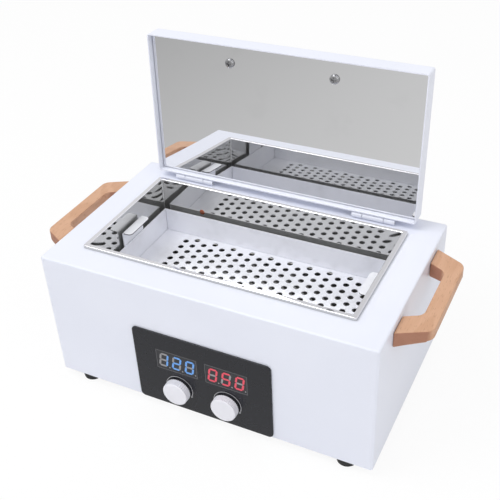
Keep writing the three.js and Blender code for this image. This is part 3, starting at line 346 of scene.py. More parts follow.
@dataclass(frozen=True)
class PowderCoat(Finish):
    """Glossy white powder coat on steel, with the faint orange peel of baked powder."""

    color: Triple = (0.85, 0.874, 0.972)
    shade: Triple = (0.835, 0.86, 0.96)
    peel: float = 3.5 * MM

    def sockets(self, r: Recipe) -> dict[str, Term]:
        """Feeds the shader.

        Args:
            r: The material's recipe.

        Returns:
            What feeds each socket.
        """
        cloud = r.noise(90 * MM, 1.0).rise(0.35, 0.65)
        return {
            "Base Color": r.blend(cloud, self.color, self.shade),
            "Roughness": 0.27 + 0.08 * r.noise(24 * MM, 2.0),
            "Normal": r.bump(r.noise(self.peel, 0.0), 0.015 * MM, 0.25),
        }


@dataclass(frozen=True)
class PolishedSteel(Finish):
    """Mirror-polished stainless sheet with faint polishing lines and handling marks."""

    color: Triple = (0.6, 0.6, 0.59)
    roughness: float = 0.02
    lines: Triple = (1.0, 60.0, 60.0)
    metallic: float = 1.0

    def sockets(self, r: Recipe) -> dict[str, Term]:
        """Feeds the shader.

        Args:
            r: The material's recipe.

        Returns:
            What feeds each socket.
        """
        lines = r.noise(20 * MM, 2.0, r.mapped(self.lines))
        smear = r.noise(35 * MM, 5.0).rise(0.55, 0.8)
        return {
            "Base Color": self.tinted(r, r.blend(smear, self.color, dimmed(self.color, 0.96))),
            "Metallic": self.metallic,
            "Roughness": self.roughness + 0.01 * lines + 0.03 * smear,
            "Normal": self.shape(r),
        }

    def tinted(self, r: Recipe, tone: Wire) -> Wire:
        """The sheet's colour, which is the same all over."""
        return tone

    def shape(self, r: Recipe) -> Wire:
        """The faint waves of rolled sheet."""
        return r.bump(r.noise(60 * MM, 1.0), 0.25 * MM, 0.2)


@dataclass(frozen=True)
class TankSteel(PolishedSteel):
    """The tank's sheet: a painted highlight on the rim, painted shade on the floor under the tray,
    and bowed beside its corners.
    """

    half: Pair = (127 * MM, 63 * MM)
    middle: Pair = (0.0, -9.967 * MM)
    reach: float = 18 * MM
    bow: float = 1.2
    flare: float = 60.0
    flare_from: float = 128 * MM
    rim: Pair = (144.6 * MM, 144.9 * MM)
    # A paler colour on the rim's top: a painted highlight that stands in for its bright reflection.
    rim_tone: Triple = (0.83, 0.825, 0.86)
    low: Pair = (81 * MM, 84 * MM)
    # A dark colour on the tank floor under the tray: painted shade.
    low_tone: Triple = (0.3, 0.295, 0.28)

    def tinted(self, r: Recipe, tone: Wire) -> Wire:
        """Adds the painted highlight on the rim and the painted shade on the floor under the tray.

        Args:
            r: The material's recipe.
            tone: The colour of the walls.

        Returns:
            The colour.
        """
        height = r.along(Axis.Z)
        # Painted shade on the floor under the tray.
        tone = r.blend(height.rise(*self.low), self.low_tone, tone)
        # Painted highlight on the rim's top.
        return r.blend(height.rise(*self.rim), tone, self.rim_tone)

    def shape(self, r: Recipe) -> Wire:
        """Draws the walls in towards the upright corners, and leaves the rim flat.

        Args:
            r: The material's recipe.

        Returns:
            The normal.
        """
        waves = 0.05 * MM * r.noise(60 * MM, 1.0)
        near = 1.0 / self.reach
        for axis, half, middle in zip((Axis.X, Axis.Y), self.half, self.middle):
            gap = (half - abs(r.along(axis) - middle)).most(0.0)
            near = near * (self.reach - gap).most(0.0)
        height = r.along(Axis.Z)
        bowed = near * near * (self.bow + self.flare * (height - self.flare_from))
        flat = height.rise(*self.rim)
        return r.blend(flat, r.bump(waves + bowed, 1.0), r.bump(waves, 1.0), Mixed.VECTORS)


@dataclass(frozen=True)
class BowedMirror(PolishedSteel):
    """The lid's polished sheet, pressed in so that it looks a little upwards when open."""

    lean: float = 0.1032
    bow: float = 0.11

    def shape(self, r: Recipe) -> Wire:
        """A slope that grows towards the hinge, in metres of depth."""
        up = r.along(Axis.Z)
        return r.bump(up * up * self.bow - up * self.lean, 1.0)


@dataclass(frozen=True)
class SatinSteel(Finish):
    """Stainless sheet with a satin grain that runs along one direction."""

    color: Triple = (0.7, 0.705, 0.72)
    grain: Triple = (1.0, 40.0, 40.0)
    roughness: float = 0.3
    metallic: float = 1.0

    def sockets(self, r: Recipe) -> dict[str, Term]:
        """Feeds the shader.

        Args:
            r: The material's recipe.

        Returns:
            What feeds each socket.
        """
        grain = r.noise(9 * MM, 4.0, r.mapped(self.grain))
        stain = r.noise(28 * MM, 4.0).rise(0.5, 0.8)
        return {
            "Base Color": self.edged(r, r.blend(stain, self.color, dimmed(self.color, 0.9))),
            "Metallic": self.metallic,
            "Roughness": self.roughness + 0.12 * grain + 0.06 * stain,
            "Normal": r.bump(grain, 0.02 * MM, 0.3),
        }

    def edged(self, r: Recipe, tone: Wire) -> Wire:
        """The sheet's colour, with no edge of its own."""
        return tone


@dataclass(frozen=True)
class TabSteel(SatinSteel):
    """Tray steel with painted shade on the sheared edge of a tab, between two heights."""

    edge: Pair = (0.0, 0.0)
    inside: float = 0.0
    # Near black: painted shade along the tab's free edge.
    edge_tone: Triple = (0.012, 0.012, 0.014)
    fade: float = 0.06 * MM

    def edged(self, r: Recipe, tone: Wire) -> Wire:
        """Paints shade on the edge that stands free of the tab's bend.

        Args:
            r: The material's recipe.
            tone: The sheet's colour.

        Returns:
            The colour.
        """
        height = r.along(Axis.Z)
        low, high = self.edge
        band = height.rise(low - self.fade, low) * (1.0 - height.rise(high, high + self.fade))
        free = 1.0 - abs(r.along(Axis.X)).rise(self.inside, self.inside + self.fade)
        return r.blend(band * free, tone, self.edge_tone)


@dataclass(frozen=True)
class ZincPlate(Finish):
    """Zinc-plated steel with its faint spangle."""

    color: Triple = (0.5, 0.52, 0.55)
    tint: Triple = (0.58, 0.57, 0.52)

    def sockets(self, r: Recipe) -> dict[str, Term]:
        """Feeds the shader.

        Args:
            r: The material's recipe.

        Returns:
            What feeds each socket.
        """
        return {
            "Base Color": r.blend(r.noise(12 * MM, 3.0), self.color, self.tint),
            "Metallic": 1.0,
            "Roughness": 0.3 + 0.16 * r.flakes(2.6 * MM),
            "Normal": r.bump(r.noise(0.5 * MM), 0.02 * MM, 0.3),
        }


@dataclass(frozen=True)
class Beech(Finish):
    """Oiled beech whose grain runs along an axis, with short dark flecks, and darker faces across
    the grain that are partly end grain and partly painted shade.
    """

    grain: Axis = Axis.Y
    pale: Triple = (0.705, 0.43, 0.28)
    deep: Triple = (0.575, 0.315, 0.185)
    fleck: Triple = (0.3, 0.13, 0.065)
    # Tone of the faces across the grain: partly real end grain, partly painted shade.
    end: Triple = (0.375, 0.155, 0.095)

    def _stretched(self, r: Recipe, lengthwise: float, across: float) -> Wire:
        """The place, with its own scale along the grain and across it."""
        return r.mapped(tuple(lengthwise if axis is self.grain else across for axis in Axis))

    def sockets(self, r: Recipe) -> dict[str, Term]:
        """Feeds the shader.

        Args:
            r: The material's recipe.

        Returns:
            What feeds each socket.
        """
        sway = r.noise(60 * MM, 2.0, self._stretched(r, 0.35, 1.0))
        rings = (sway * 14.0).repeated(1.0)
        bands = rings.rise(0.0, 0.75) * (1.0 - rings.rise(0.8, 1.0))
        fibre = r.noise(5 * MM, 5.0, self._stretched(r, 0.08, 3.2))
        pores = r.noise(1.7 * MM, 1.0, self._stretched(r, 0.25, 2.6)).rise(0.62, 0.72)
        tone = r.blend(bands * 0.4 + fibre * 0.6, self.pale, self.deep)
        # Faces that look along the grain are darkened: partly end grain, partly painted shade.
        cut = r.along(self.grain, r.node("ShaderNodeTexCoord", output="Normal"))
        tone = r.blend(abs(cut).rise(0.45, 0.95) * 0.85, tone, self.end)
        return {
            "Base Color": r.blend(pores * 0.5, tone, self.fleck),
            "Roughness": 0.42 + 0.16 * fibre,
            "Normal": r.bump(1.0 - pores.most(fibre * 0.4), 0.06 * MM, 0.5),
        }


@dataclass(frozen=True)
class Plastic(Finish):
    """Moulded plastic or film with a fine mould texture and slightly uneven gloss."""

    color: Triple = (0.8, 0.8, 0.84)
    roughness: float = 0.35
    texture: float = 0.35 * MM

    def sockets(self, r: Recipe) -> dict[str, Term]:
        """Feeds the shader.

        Args:
            r: The material's recipe.

        Returns:
            What feeds each socket.
        """
        cloud = r.noise(16 * MM, 3.0)
        return {
            "Base Color": r.blend(cloud, self.color, dimmed(self.color, 0.93)),
            "Roughness": self.roughness - 0.04 + 0.08 * cloud,
            "Normal": r.bump(r.noise(self.texture, 2.0), 0.012 * MM, 0.5),
        }


@dataclass(frozen=True)
class Rubber(Finish):
    """Matt rubber with a dusty bloom."""

    color: Triple = (0.012, 0.012, 0.013)
    bloom: Triple = (0.04, 0.04, 0.042)

    def sockets(self, r: Recipe) -> dict[str, Term]:
        """Feeds the shader.

        Args:
            r: The material's recipe.

        Returns:
            What feeds each socket.
        """
        dust = r.noise(3 * MM, 5.0).rise(0.4, 0.8)
        return {
            "Base Color": r.blend(dust, self.color, self.bloom),
            "Roughness": 0.62 + 0.25 * dust,
            "Normal": r.bump(r.noise(0.4 * MM, 2.0), 0.03 * MM, 0.6),
        }


@dataclass(frozen=True)
class Wool(Finish):
    """Pressed mineral wool with tangled fibres."""

    color: Triple = (0.66, 0.6, 0.42)
    shade: Triple = (0.44, 0.38, 0.24)
    layers: Triple = (1.0, 1.0, 7.0)

    def sockets(self, r: Recipe) -> dict[str, Term]:
        """Feeds the shader.

        Args:
            r: The material's recipe.

        Returns:
            What feeds each socket.
        """
        tangle = r.noise(2.5 * MM, 8.0, roughness=0.7)
        layers = r.noise(6 * MM, 3.0, r.mapped(self.layers))
        return {
            "Base Color": r.blend(tangle * 0.7 + layers * 0.3, self.shade, self.color),
            "Roughness": 0.85 + 0.1 * tangle,
            "Normal": r.bump(tangle, 0.7 * MM, 0.9),
        }


@dataclass(frozen=True)
class CircuitBoard(Finish):
    """Green solder mask over copper tracks, with tinned pads."""

    mask: Triple = (0.012, 0.13, 0.05)
    track: Triple = (0.03, 0.24, 0.1)
    pad: Triple = (0.5, 0.5, 0.48)

    def sockets(self, r: Recipe) -> dict[str, Term]:
        """Feeds the shader.

        Args:
            r: The material's recipe.

        Returns:
            What feeds each socket.
        """
        tracks = r.cells(6 * MM, "DISTANCE_TO_EDGE").rise(0.05, 0.08)
        pads = 1.0 - r.cells(5 * MM).rise(0.13, 0.16)
        return {
            "Base Color": r.blend(pads, r.blend(tracks, self.track, self.mask), self.pad),
            "Metallic": pads,
            "Roughness": 0.45 - 0.15 * pads,
            "Normal": r.bump(1.0 - tracks, 0.05 * MM, 0.6),
        }


@dataclass(frozen=True)
class Mica(Finish):
    """Mica laminate: pearly flakes in a brown binder."""

    binder: Triple = (0.22, 0.13, 0.05)
    flake: Triple = (0.55, 0.42, 0.22)

    def sockets(self, r: Recipe) -> dict[str, Term]:
        """Feeds the shader.

        Args:
            r: The material's recipe.

        Returns:
            What feeds each socket.
        """
        flakes = r.flakes(3 * MM)
        return {
            "Base Color": r.blend(flakes, self.binder, self.flake),
            "Roughness": 0.3 + 0.3 * flakes,
            "Normal": r.bump(flakes, 0.05 * MM, 0.6),
        }


@dataclass(frozen=True)
class BareMetal(Finish):
    """Plain metal, clouded by heat or handling."""

    color: Triple
    tarnish: Triple

    def sockets(self, r: Recipe) -> dict[str, Term]:
        """Feeds the shader.

        Args:
            r: The material's recipe.

        Returns:
            What feeds each socket.
        """
        cloud = r.noise(3 * MM, 4.0).rise(0.35, 0.75)
        return {
            "Base Color": r.blend(cloud, self.color, self.tarnish),
            "Metallic": 1.0,
            "Roughness": 0.22 + 0.15 * cloud,
            "Normal": r.bump(r.noise(0.6 * MM), 0.02 * MM, 0.4),
        }


@dataclass(frozen=True)
class CoreSteel(Finish):
    """A stack of varnished steel sheets."""

    color: Triple = (0.12, 0.11, 0.1)
    seam: Triple = (0.03, 0.025, 0.02)
    sheet: float = 0.5 * MM

    def sockets(self, r: Recipe) -> dict[str, Term]:
        """Feeds the shader.

        Args:
            r: The material's recipe.

        Returns:
            What feeds each socket.
        """
        step = r.along(Axis.Z).repeated(self.sheet) * (1.0 / self.sheet)
        seams = abs(step - 0.5).rise(0.36, 0.46)
        return {
            "Base Color": r.blend(seams, self.color, self.seam),
            "Metallic": 0.6,
            "Roughness": 0.35 + 0.2 * r.noise(4 * MM),
            "Normal": r.bump(1.0 - seams, 0.08 * MM, 0.7),
        }


@dataclass(frozen=True)
class Segment(Finish):
    """A segment of a digit, lit or unlit, with a slightly uneven glow."""

    glow: Triple
    body: Triple = (0.05, 0.05, 0.06)

    def sockets(self, r: Recipe) -> dict[str, Term]:
        """Feeds the shader.

        Args:
            r: The material's recipe.

        Returns:
            What feeds each socket.
        """
        uneven = r.noise(1.2 * MM, 2.0).rise(0.3, 0.7)
        return {
            "Base Color": self.body,
            "Roughness": 0.35,
            "Emission Color": r.blend(uneven, dimmed(self.glow, 0.72), self.glow),
            "Emission Strength": 1.0,
        }


WHITE_PAINT = PowderCoat("white powder coat", "white_paint")
TANK_STEEL = TankSteel("polished tank steel", "mirror_steel", metallic=0.94)
LID_MIRROR = BowedMirror("mirror-polished lid sheet", "mirror_steel", (0.88, 0.882, 0.89), 0.012)
TRAY_STEEL = SatinSteel("satin tray steel", "satin_steel", (0.9, 0.91, 0.965), metallic=0.25)
SHAFT_STEEL = SatinSteel("turned steel", "satin_steel")
ZINC = ZincPlate("zinc plate", "zinc_steel")
SCREW_STEEL = PolishedSteel("screw steel", "chrome", (0.4, 0.4, 0.41), 0.08)
BEECH_SIDE = Beech("beech along Y", "beech")
BEECH_LID = Beech("beech along X", "beech", Axis.X)
FILM = Plastic("panel film", "black_gloss", (0.0105, 0.0115, 0.017), 0.27, 0.25 * MM)
KNOB_WHITE = Plastic("white knob plastic", "white_plastic", (0.91, 0.91, 0.975), 0.38)
BLACK = Plastic("black plastic", "black_plastic", (0.018, 0.018, 0.02), 0.45)
LENS = Plastic("smoked display face", "smoked_lens", (0.03, 0.031, 0.036), 0.2)
BEZEL = Plastic("display frame", "smoked_lens", (0.1, 0.1, 0.11), 0.4)
INK = Plastic("pale print", "white_plastic", (0.7, 0.7, 0.72), 0.6)
RUBBER = Rubber("foot rubber", "foot_rubber")
SHEATH = Plastic("cable sheath", "cable_grey", (0.2, 0.21, 0.23), 0.5, 0.8 * MM)
WOOL = Wool("mineral wool", "mineral_wool")
BOARD = CircuitBoard("circuit board", "circuit_board")
MICA = Mica("mica laminate", "mica")
PROBE = BareMetal("tarnished copper", "copper", (0.5, 0.17, 0.095), (0.28, 0.085, 0.05))
BLADE = BareMetal("nickel blade", "zinc_steel", (0.62, 0.59, 0.53), (0.4, 0.38, 0.34))
CORE = CoreSteel("core steel", "core_steel")
BLUE_LIT = Segment("lit blue segment", "smoked_lens", (0.12, 0.36, 0.84))
RED_LIT = Segment("lit red segment", "smoked_lens", (0.8, 0.045, 0.085))
# Unlit segments and points glow grey: painted light that stands in for room light on them.
UNLIT_PAINTED_GLOW = Segment("unlit segment", "smoked_lens", (0.27, 0.265, 0.27))


def span(middle: float, length: float) -> Pair:
    """The low and high value of a stretch."""
    return (middle - length / 2, middle + length / 2)


def shrunk(pair: Pair, by: float) -> Pair:
    """A stretch with both ends moved inwards."""
    return (pair[0] + by, pair[1] - by)


def mids(*pairs: Pair) -> tuple[float, ...]:
    """The middle of each stretch."""
    return tuple(sum(pair) / 2 for pair in pairs)


def corners(x: Pair, y: Pair) -> list[Pair]:
    """The four corners of a rectangle."""
    return [(across, back) for across in x for back in y]


def spans_of(node: str) -> tuple[Pair, Pair, Pair]:
    """The stretches of a solid along X, Y and Z."""
    return tuple(zip(*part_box(node)))


def near(value: float, level: float) -> bool:
    """Whether a place lies at a level."""
    return abs(value - level) < CLOSE


def running(axis: Axis) -> Test:
    """A test for edges that run along an axis."""
    return lambda middle, way: abs(way[axis.value]) > 0.9


def crossing(axis: Axis, level: float) -> Test:
    """A test for edges that lie in the plane at this level of an axis."""
    place = axis.value
    return lambda middle, way: abs(way[place]) < 0.1 and near(middle[place], level)


def facing(axis: Axis, sign: int) -> Test:
    """A test for faces that look along an axis, or the other way."""
    return lambda middle, way: sign * way[axis.value] > 0.99


UPRIGHT = running(Axis.Z)


class Workpiece:
    """A mesh on the bench, with the moves of modelling by hand. Moves can be chained."""

    def __init__(self, thing: bpy.types.Object, name: str) -> None:
        """Takes over an object."""
        self.thing = thing
        thing.name = thing.data.name = name

    @staticmethod
    def clear_selection() -> None:
        """Leaves edit mode and deselects everything."""
        if bpy.context.mode != "OBJECT":
            bpy.ops.object.mode_set(mode="OBJECT")
        bpy.ops.object.select_all(action="DESELECT")

    @classmethod
    def from_solid(cls, node: str, name: str) -> Workpiece:
        """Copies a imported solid, free of its body, with its loose triangles joined.

        Args:
            node: The solid.
            name: The piece's name.

        Returns:
            The piece.
        """
        piece = cls.twin_of(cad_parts[node], name)
        thing = piece.thing
        thing.parent = None
        thing.hide_render = thing.hide_viewport = False
        for key in list(thing.keys()):
            del thing[key]
        piece.merge(0.002 * MM)
        return piece._on_all(bpy.ops.mesh.dissolve_limited, angle_limit=math.radians(1.0))

    @classmethod
    def twin_of(cls, thing: bpy.types.Object, name: str) -> Workpiece:
        """Copies an object, with a mesh of its own.

        Args:
            thing: The object, which stays as it is.
            name: The copy's name.

        Returns:
            The copy.
        """
        cls.clear_selection()
        twin = thing.copy()
        twin.data = thing.data.copy()
        bpy.context.scene.collection.objects.link(twin)
        return cls(twin, name)

    def activate(self) -> None:
        """Makes the piece the only selected and the active one."""
        self.clear_selection()
        self.thing.select_set(True)
        bpy.context.view_layer.objects.active = self.thing

    def settle(self) -> Workpiece:
        """Moves the object's place, turn and scale into its mesh."""
        self.activate()
        bpy.ops.object.transform_apply(location=True, rotation=True, scale=True)
        return self

    def place(self, location: Triple, turn: Triple = ORIGIN) -> Workpiece:
        """Turns the piece about the origin, moves it, and settles it."""
        self.thing.rotation_euler = turn
        self.thing.location = location
        return self.settle()

    def copy(self, name: str) -> Workpiece:
        """A copy with a mesh of its own."""
        return self.twin_of(self.thing, name)

    def discard(self) -> None:
        """Takes the piece off the bench."""
        bpy.data.objects.remove(self.thing)

    @contextmanager
    def _editing(self, kind: Pick) -> Iterator[None]:
        """Edit mode for one kind of element."""
        self.activate()
        bpy.ops.object.mode_set(mode="EDIT")
        bpy.ops.mesh.select_mode(type=kind.value)
        yield
        bpy.ops.object.mode_set(mode="OBJECT")

    def _on_all(self, operator: Callable[..., set[str]], **settings: object) -> Workpiece:
        """Runs an edit operator on the whole mesh."""
        with self._editing(Pick.POINTS):
            bpy.ops.mesh.select_all(action="SELECT")
            operator(**settings)
        return self

    def merge(self, within: float) -> Workpiece:
        """Joins points that lie this close together."""
        return self._on_all(bpy.ops.mesh.remove_doubles, threshold=within)

    def face_outwards(self) -> Workpiece:
        """Turns all faces outwards."""
        return self._on_all(bpy.ops.mesh.normals_make_consistent, inside=False)

    def pick(self, kind: Pick, test: Test) -> Workpiece:
        """Selects the elements that pass a test, and no others.

        Args:
            kind: Points, edges or faces.
            test: Takes an element's middle and its direction, which is a face's or a point's
                normal, or the way an edge runs.

        Returns:
            The piece itself.
        """
        with self._editing(kind):
            bpy.ops.mesh.select_all(action="DESELECT")
            mesh = bmesh.from_edit_mesh(self.thing.data)
            groups = {Pick.POINTS: mesh.verts, Pick.EDGES: mesh.edges, Pick.FACES: mesh.faces}
            for element in groups[kind]:
                element.select_set(test(*self._middle_and_way(element)))
            mesh.select_flush_mode()
            bmesh.update_edit_mesh(self.thing.data)
        return self

    @staticmethod
    def _middle_and_way(
        element: bmesh.types.BMVert | bmesh.types.BMEdge | bmesh.types.BMFace,
    ) -> tuple[Vector, Vector]:
        """Finds where an element is.

        Args:
            element: A point, an edge or a face.

        Returns:
            Its middle and its direction.
        """
        if isinstance(element, bmesh.types.BMFace):
            return element.calc_center_median(), element.normal
        if isinstance(element, bmesh.types.BMEdge):
            start, end = (point.co for point in element.verts)
            return (start + end) / 2, (end - start).normalized()
        return element.co, element.normal

    def pick_all(self) -> Workpiece:
        """Selects everything."""
        return self.pick(Pick.FACES, lambda middle, way: True)

    def bevel(self, width: float, steps: int, points: bool = False) -> Workpiece:
        """Rounds the selected edges, or the selected points of a sheet."""
        kind, affect = (Pick.POINTS, "VERTICES") if points else (Pick.EDGES, "EDGES")
        with self._editing(kind):
            bpy.ops.mesh.bevel(offset=width, segments=steps, affect=affect)
        return self

    def ease(self, test: Test, width: float, steps: int = 4) -> Workpiece:
        """Rounds the edges that pass a test."""
        return self.pick(Pick.EDGES, test).bevel(width, steps)

    def inset(self, thickness: float) -> Workpiece:
        """Insets the selected faces as one region."""
        with self._editing(Pick.FACES):
            bpy.ops.mesh.inset(thickness=thickness, use_even_offset=True)
        return self

    def extrude(self, axis: Axis, by: float, kind: Pick = Pick.FACES) -> Workpiece:
        """Extrudes the selected faces, or edges, along an axis."""
        faces = kind is Pick.FACES
        with self._editing(kind):
            extrude = bpy.ops.mesh.extrude_region_move if faces else bpy.ops.mesh.extrude_edges_move
            extrude(TRANSFORM_OT_translate={"value": axis.step(by)})
        return self

    def resize(self, factors: Triple) -> Workpiece:
        """Scales the selection about the origin."""
        with self._editing(Pick.POINTS):
            bpy.ops.transform.resize(value=factors, center_override=ORIGIN)
        return self

    def move(self, axis: Axis, by: float) -> Workpiece:
        """Moves the selection along an axis."""
        with self._editing(Pick.POINTS):
            bpy.ops.transform.translate(value=axis.step(by))
        return self

    def remove(self) -> Workpiece:
        """Deletes the selected faces."""
        with self._editing(Pick.FACES):
            bpy.ops.mesh.delete(type="FACE")
        return self

    def spin(self, axis: Triple, angle: float, steps: int) -> Workpiece:
        """Sweeps the selection about an axis through the origin, and closes the result."""
        with self._editing(Pick.POINTS):
            bpy.ops.mesh.spin(steps=steps, angle=angle, center=ORIGIN, axis=axis)
        return self.merge(0.001 * MM).face_outwards()

    def _modify(self, kind: str, **settings: object) -> Workpiece:
        """Adds a modifier with these settings and applies it."""
        self.activate()
        modifier = self.thing.modifiers.new(kind.lower(), kind)
        for key, value in settings.items():
            setattr(modifier, key, value)
        bpy.ops.object.modifier_apply(modifier=modifier.name)
        return self

    def thicken(self, wall: float) -> Workpiece:
        """Gives a sheet or a closed skin its wall, on its back."""
        return self._modify("SOLIDIFY", thickness=wall, offset=-1.0, use_even_offset=True)

    def soften(self, width: float, steps: int = 2, angle: float = 40.0) -> Workpiece:
        """Eases every edge that is sharper than an angle in degrees."""
        return self._modify(
            "BEVEL",
            width=width,
            segments=steps,
            limit_method="ANGLE",
            angle_limit=math.radians(angle),
            use_clamp_overlap=True,
            miter_outer="MITER_ARC",
        )

    def row(self, count: int, axis: Axis, pitch: float) -> Workpiece:
        """Repeats the piece in a row along an axis, as one mesh."""
        return self._modify(
            "ARRAY",
            count=count,
            use_relative_offset=False,
            use_constant_offset=True,
            constant_offset_displace=axis.step(pitch),
        )

    def _combine(self, operation: str, tools: Iterable[Workpiece]) -> Workpiece:
        """Combines the piece with each tool in turn, and uses the tools up."""
        for tool in tools:
            self._modify("BOOLEAN", operation=operation, object=tool.thing, solver="EXACT")
            tool.discard()
        return self

    def carve(self, *tools: Workpiece) -> Workpiece:
        """Cuts the tools out of the piece."""
        return self._combine("DIFFERENCE", tools)

    def weld(self, *parts: Workpiece) -> Workpiece:
        """Joins the parts to the piece as one solid."""
        return self._combine("UNION", parts)

    def gather(self, *parts: Workpiece) -> Workpiece:
        """Takes parts that lie apart from the piece into its mesh."""
        self.activate()
        for part in parts:
            part.thing.select_set(True)
        bpy.ops.object.join()
        return self

    def hand_over(self, finish: Finish, body: str, *nodes: str, angle: float = 32.0) -> None:
        """Smooths the piece, gives it its finish and puts it on its body.

        Args:
            finish: The finish.
            body: The body that it rides on.
            *nodes: The solids that it stands for.
            angle: Edges sharper than this stay sharp, in degrees.
        """
        self.activate()
        bpy.ops.object.shade_smooth_by_angle(angle=math.radians(angle))
        self._modify("WEIGHTED_NORMAL", keep_sharp=True)
        mesh = self.thing.data
        mesh.materials.clear()
        mesh.materials.append(finish.material())
        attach(self.thing, body)
        if nodes:
            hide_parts(*nodes)
        LOG.info("%s: %s, %d faces", body, self.thing.name, len(mesh.polygons))


def box(name: str, x: Pair, y: Pair, z: Pair) -> Workpiece:
    """Adds a box.

    Args:
        name: The piece's name.
        x: Its low and high value along X.
        y: The same along Y.
        z: The same along Z.

    Returns:
        The piece.
    """
    Workpiece.clear_selection()
    scale = tuple(high - low for low, high in (x, y, z))
    bpy.ops.mesh.primitive_cube_add(size=1.0, location=mids(x, y, z), scale=scale)
    return Workpiece(bpy.context.active_object, name).settle()


def rod(
    name: str, axis: Axis, radius: float, ends: Pair, at: Pair = (0.0, 0.0), sides: int = 24
) -> Workpiece:
    """Adds a round bar.

    Args:
        name: The piece's name.
        axis: The axis it lies along.
        radius: Its radius.
        ends: Where it starts and ends along the axis.
        at: Its centre along the other two axes, in order.
        sides: How many sides stand for the round.

    Returns:
        The piece.
    """
    Workpiece.clear_selection()
    location = list(at)
    location.insert(axis.value, sum(ends) / 2)
    bpy.ops.mesh.primitive_cylinder_add(
        vertices=sides,
        radius=radius,
        depth=ends[1] - ends[0],
        location=location,
        rotation=axis.turn(),
    )
    return Workpiece(bpy.context.active_object, name).settle()


def sheet(name: str, x: Pair, y: Pair, z: float) -> Workpiece:
    """Adds a level sheet with no thickness yet.

    Args:
        name: The piece's name.
        x: Its low and high value along X.
        y: The same along Y.
        z: Its level.

    Returns:
        The piece.
    """
    Workpiece.clear_selection()
    bpy.ops.mesh.primitive_plane_add(size=1.0, location=(*mids(x, y), z))
    bpy.context.active_object.scale = (x[1] - x[0], y[1] - y[0], 1.0)
    return Workpiece(bpy.context.active_object, name).settle()


@dataclass(frozen=True)
class SlotRow:
    """A row of air slots with round ends, repeated along X."""

    count: int
    pitch: float
    middle: float
    length: float
    width: float = 4 * MM

    def cutter(self, axis: Axis, through: Pair, level: float) -> Workpiece:
        """Builds the cutter for the row.

        Args:
            axis: The axis that the slots go through, Y or Z.
            through: Where the cutter starts and ends along it.
            level: The slots' middle along the other of the two.

        Returns:
            The cutter.
        """
        first = self.middle - (self.count - 1) * self.pitch / 2
        lengthwise = span(level, self.length)
        y, z = (through, lengthwise) if axis is Axis.Y else (lengthwise, through)
        slot = box("slot", span(first, self.width), y, z)
        return slot.ease(running(axis), self.width / 2.02, 8).row(self.count, Axis.X, self.pitch)


@dataclass(frozen=True)
class PanScrew:
    """A pan-head screw with a cross recess. The arms' sizes are shares of its radius."""

    radius: float
    height: float
    length: float
    shank: float = 2 * MM
    arm: Pair = (0.34, 1.15)
    arm_taper: float = 0.7

    def build(self, name: str) -> Workpiece:
        """Builds the screw with its head's top at zero, looking up.

        Args:
            name: The piece's name.

        Returns:
            The screw.
        """
        deep = 0.75 * self.height
        screw = rod(name, Axis.Z, self.radius, (-self.height, 0.0), sides=40)
        screw.ease(crossing(Axis.Z, 0.0), deep, 5)
        for size in (self.arm, self.arm[::-1]):
            x, y = (span(0.0, self.radius * share) for share in size)
            arm = box("recess", x, y, (-deep, self.height / 2))
            arm.pick(Pick.FACES, facing(Axis.Z, -1))
            screw.carve(arm.resize((self.arm_taper, self.arm_taper, 1.0)))
        shank = (-self.height - self.length, -0.6 * self.height)
        return screw.weld(rod("shank", Axis.Z, self.shank, shank)).soften(0.12 * MM)


@dataclass(frozen=True)
class WallFitting:
    """A black fitting in the rear wall: a flange outside, a body inside, and a well."""

    node: str
    name: str
    centre: Pair
    body: Pair
    well: Pair
    depth: float
    flange: float
    corner: float
    corner_steps: int
    brow: float
    ease: float
    clearance: float = 0.6 * MM
    key: Pair = (0.0, 0.0)

    def block(self, name: str, size: Pair, y: Pair, extra: float = 0.0) -> Workpiece:
        """A box of this width and height about the fitting's centre."""
        x, z = (span(at, length + extra) for at, length in zip(self.centre, size))
        return box(name, x, y, z)

    def opening(self, through: Pair) -> Workpiece:
        """The cutter for its opening in the wall."""
        return self.block("opening", self.body, through, self.clearance)

    def build(self) -> None:
        """Builds the fitting. Where it has a key, the well's upper corners are cut off."""
        x, y, z = spans_of(self.node)
        piece = box(self.name, x, (y[1] - self.flange, y[1]), z)
        piece.ease(running(Axis.Y), self.corner, self.corner_steps)
        piece.ease(crossing(Axis.Y, y[1]), self.brow, 3)
        piece.weld(self.block("body", self.body, (y[0], y[1] - self.flange / 2)))
        well = self.block("well", self.well, (y[1] - self.depth, y[1] + 2 * MM))
        if any(self.key):
            level = self.centre[1]
            well.ease(lambda m, way: abs(way.y) > 0.9 and m.z > level, self.key[0], 1)
            well.ease(running(Axis.Y), self.key[1], 3)
        piece.carve(well).soften(self.ease, 2, 60.0).hand_over(BLACK, "case", self.node)


INLET = WallFitting(
    "power_inlet",
    "inlet_body",
    centre=(-112 * MM, 42 * MM),
    body=(27 * MM, 21 * MM),
    well=(23.5 * MM, 16.5 * MM),
    depth=15 * MM,
    flange=2.5 * MM,
    corner=2.5 * MM,
    corner_steps=5,
    brow=0.7 * MM,
    ease=0.15 * MM,
    key=(4 * MM, 0.8 * MM),
)
SWITCH = WallFitting(
    "switch_housing",
    "switch_frame",
    centre=(-72 * MM, 42 * MM),
    body=(13 * MM, 19 * MM),
    well=(10.6 * MM, 16.6 * MM),
    depth=9 * MM,
    flange=1.8 * MM,
    corner=1.2 * MM,
    corner_steps=4,
    brow=0.6 * MM,
    ease=0.12 * MM,
)


def panel_openings(through: Pair, margin: float) -> list[Workpiece]:
    """Builds the cutters for the display windows and the bushings of the two controls.

    Args:
        through: Where the cutters start and end along Y.
        margin: How much larger than its display a window is, on each side.

    Returns:
        The cutters.
    """
    windows, holes = [], []
    for dial in DIALS:
        x, _, z = spans_of(f"{dial}_display")
        windows.append(box("window", shrunk(x, -margin), through, shrunk(z, -margin)))
        x, _, z = spans_of(f"{dial}_control")
        holes.append(rod("bushing hole", Axis.Y, BUSHING_HOLE, through, mids(x, z), 32))
    return windows + holes


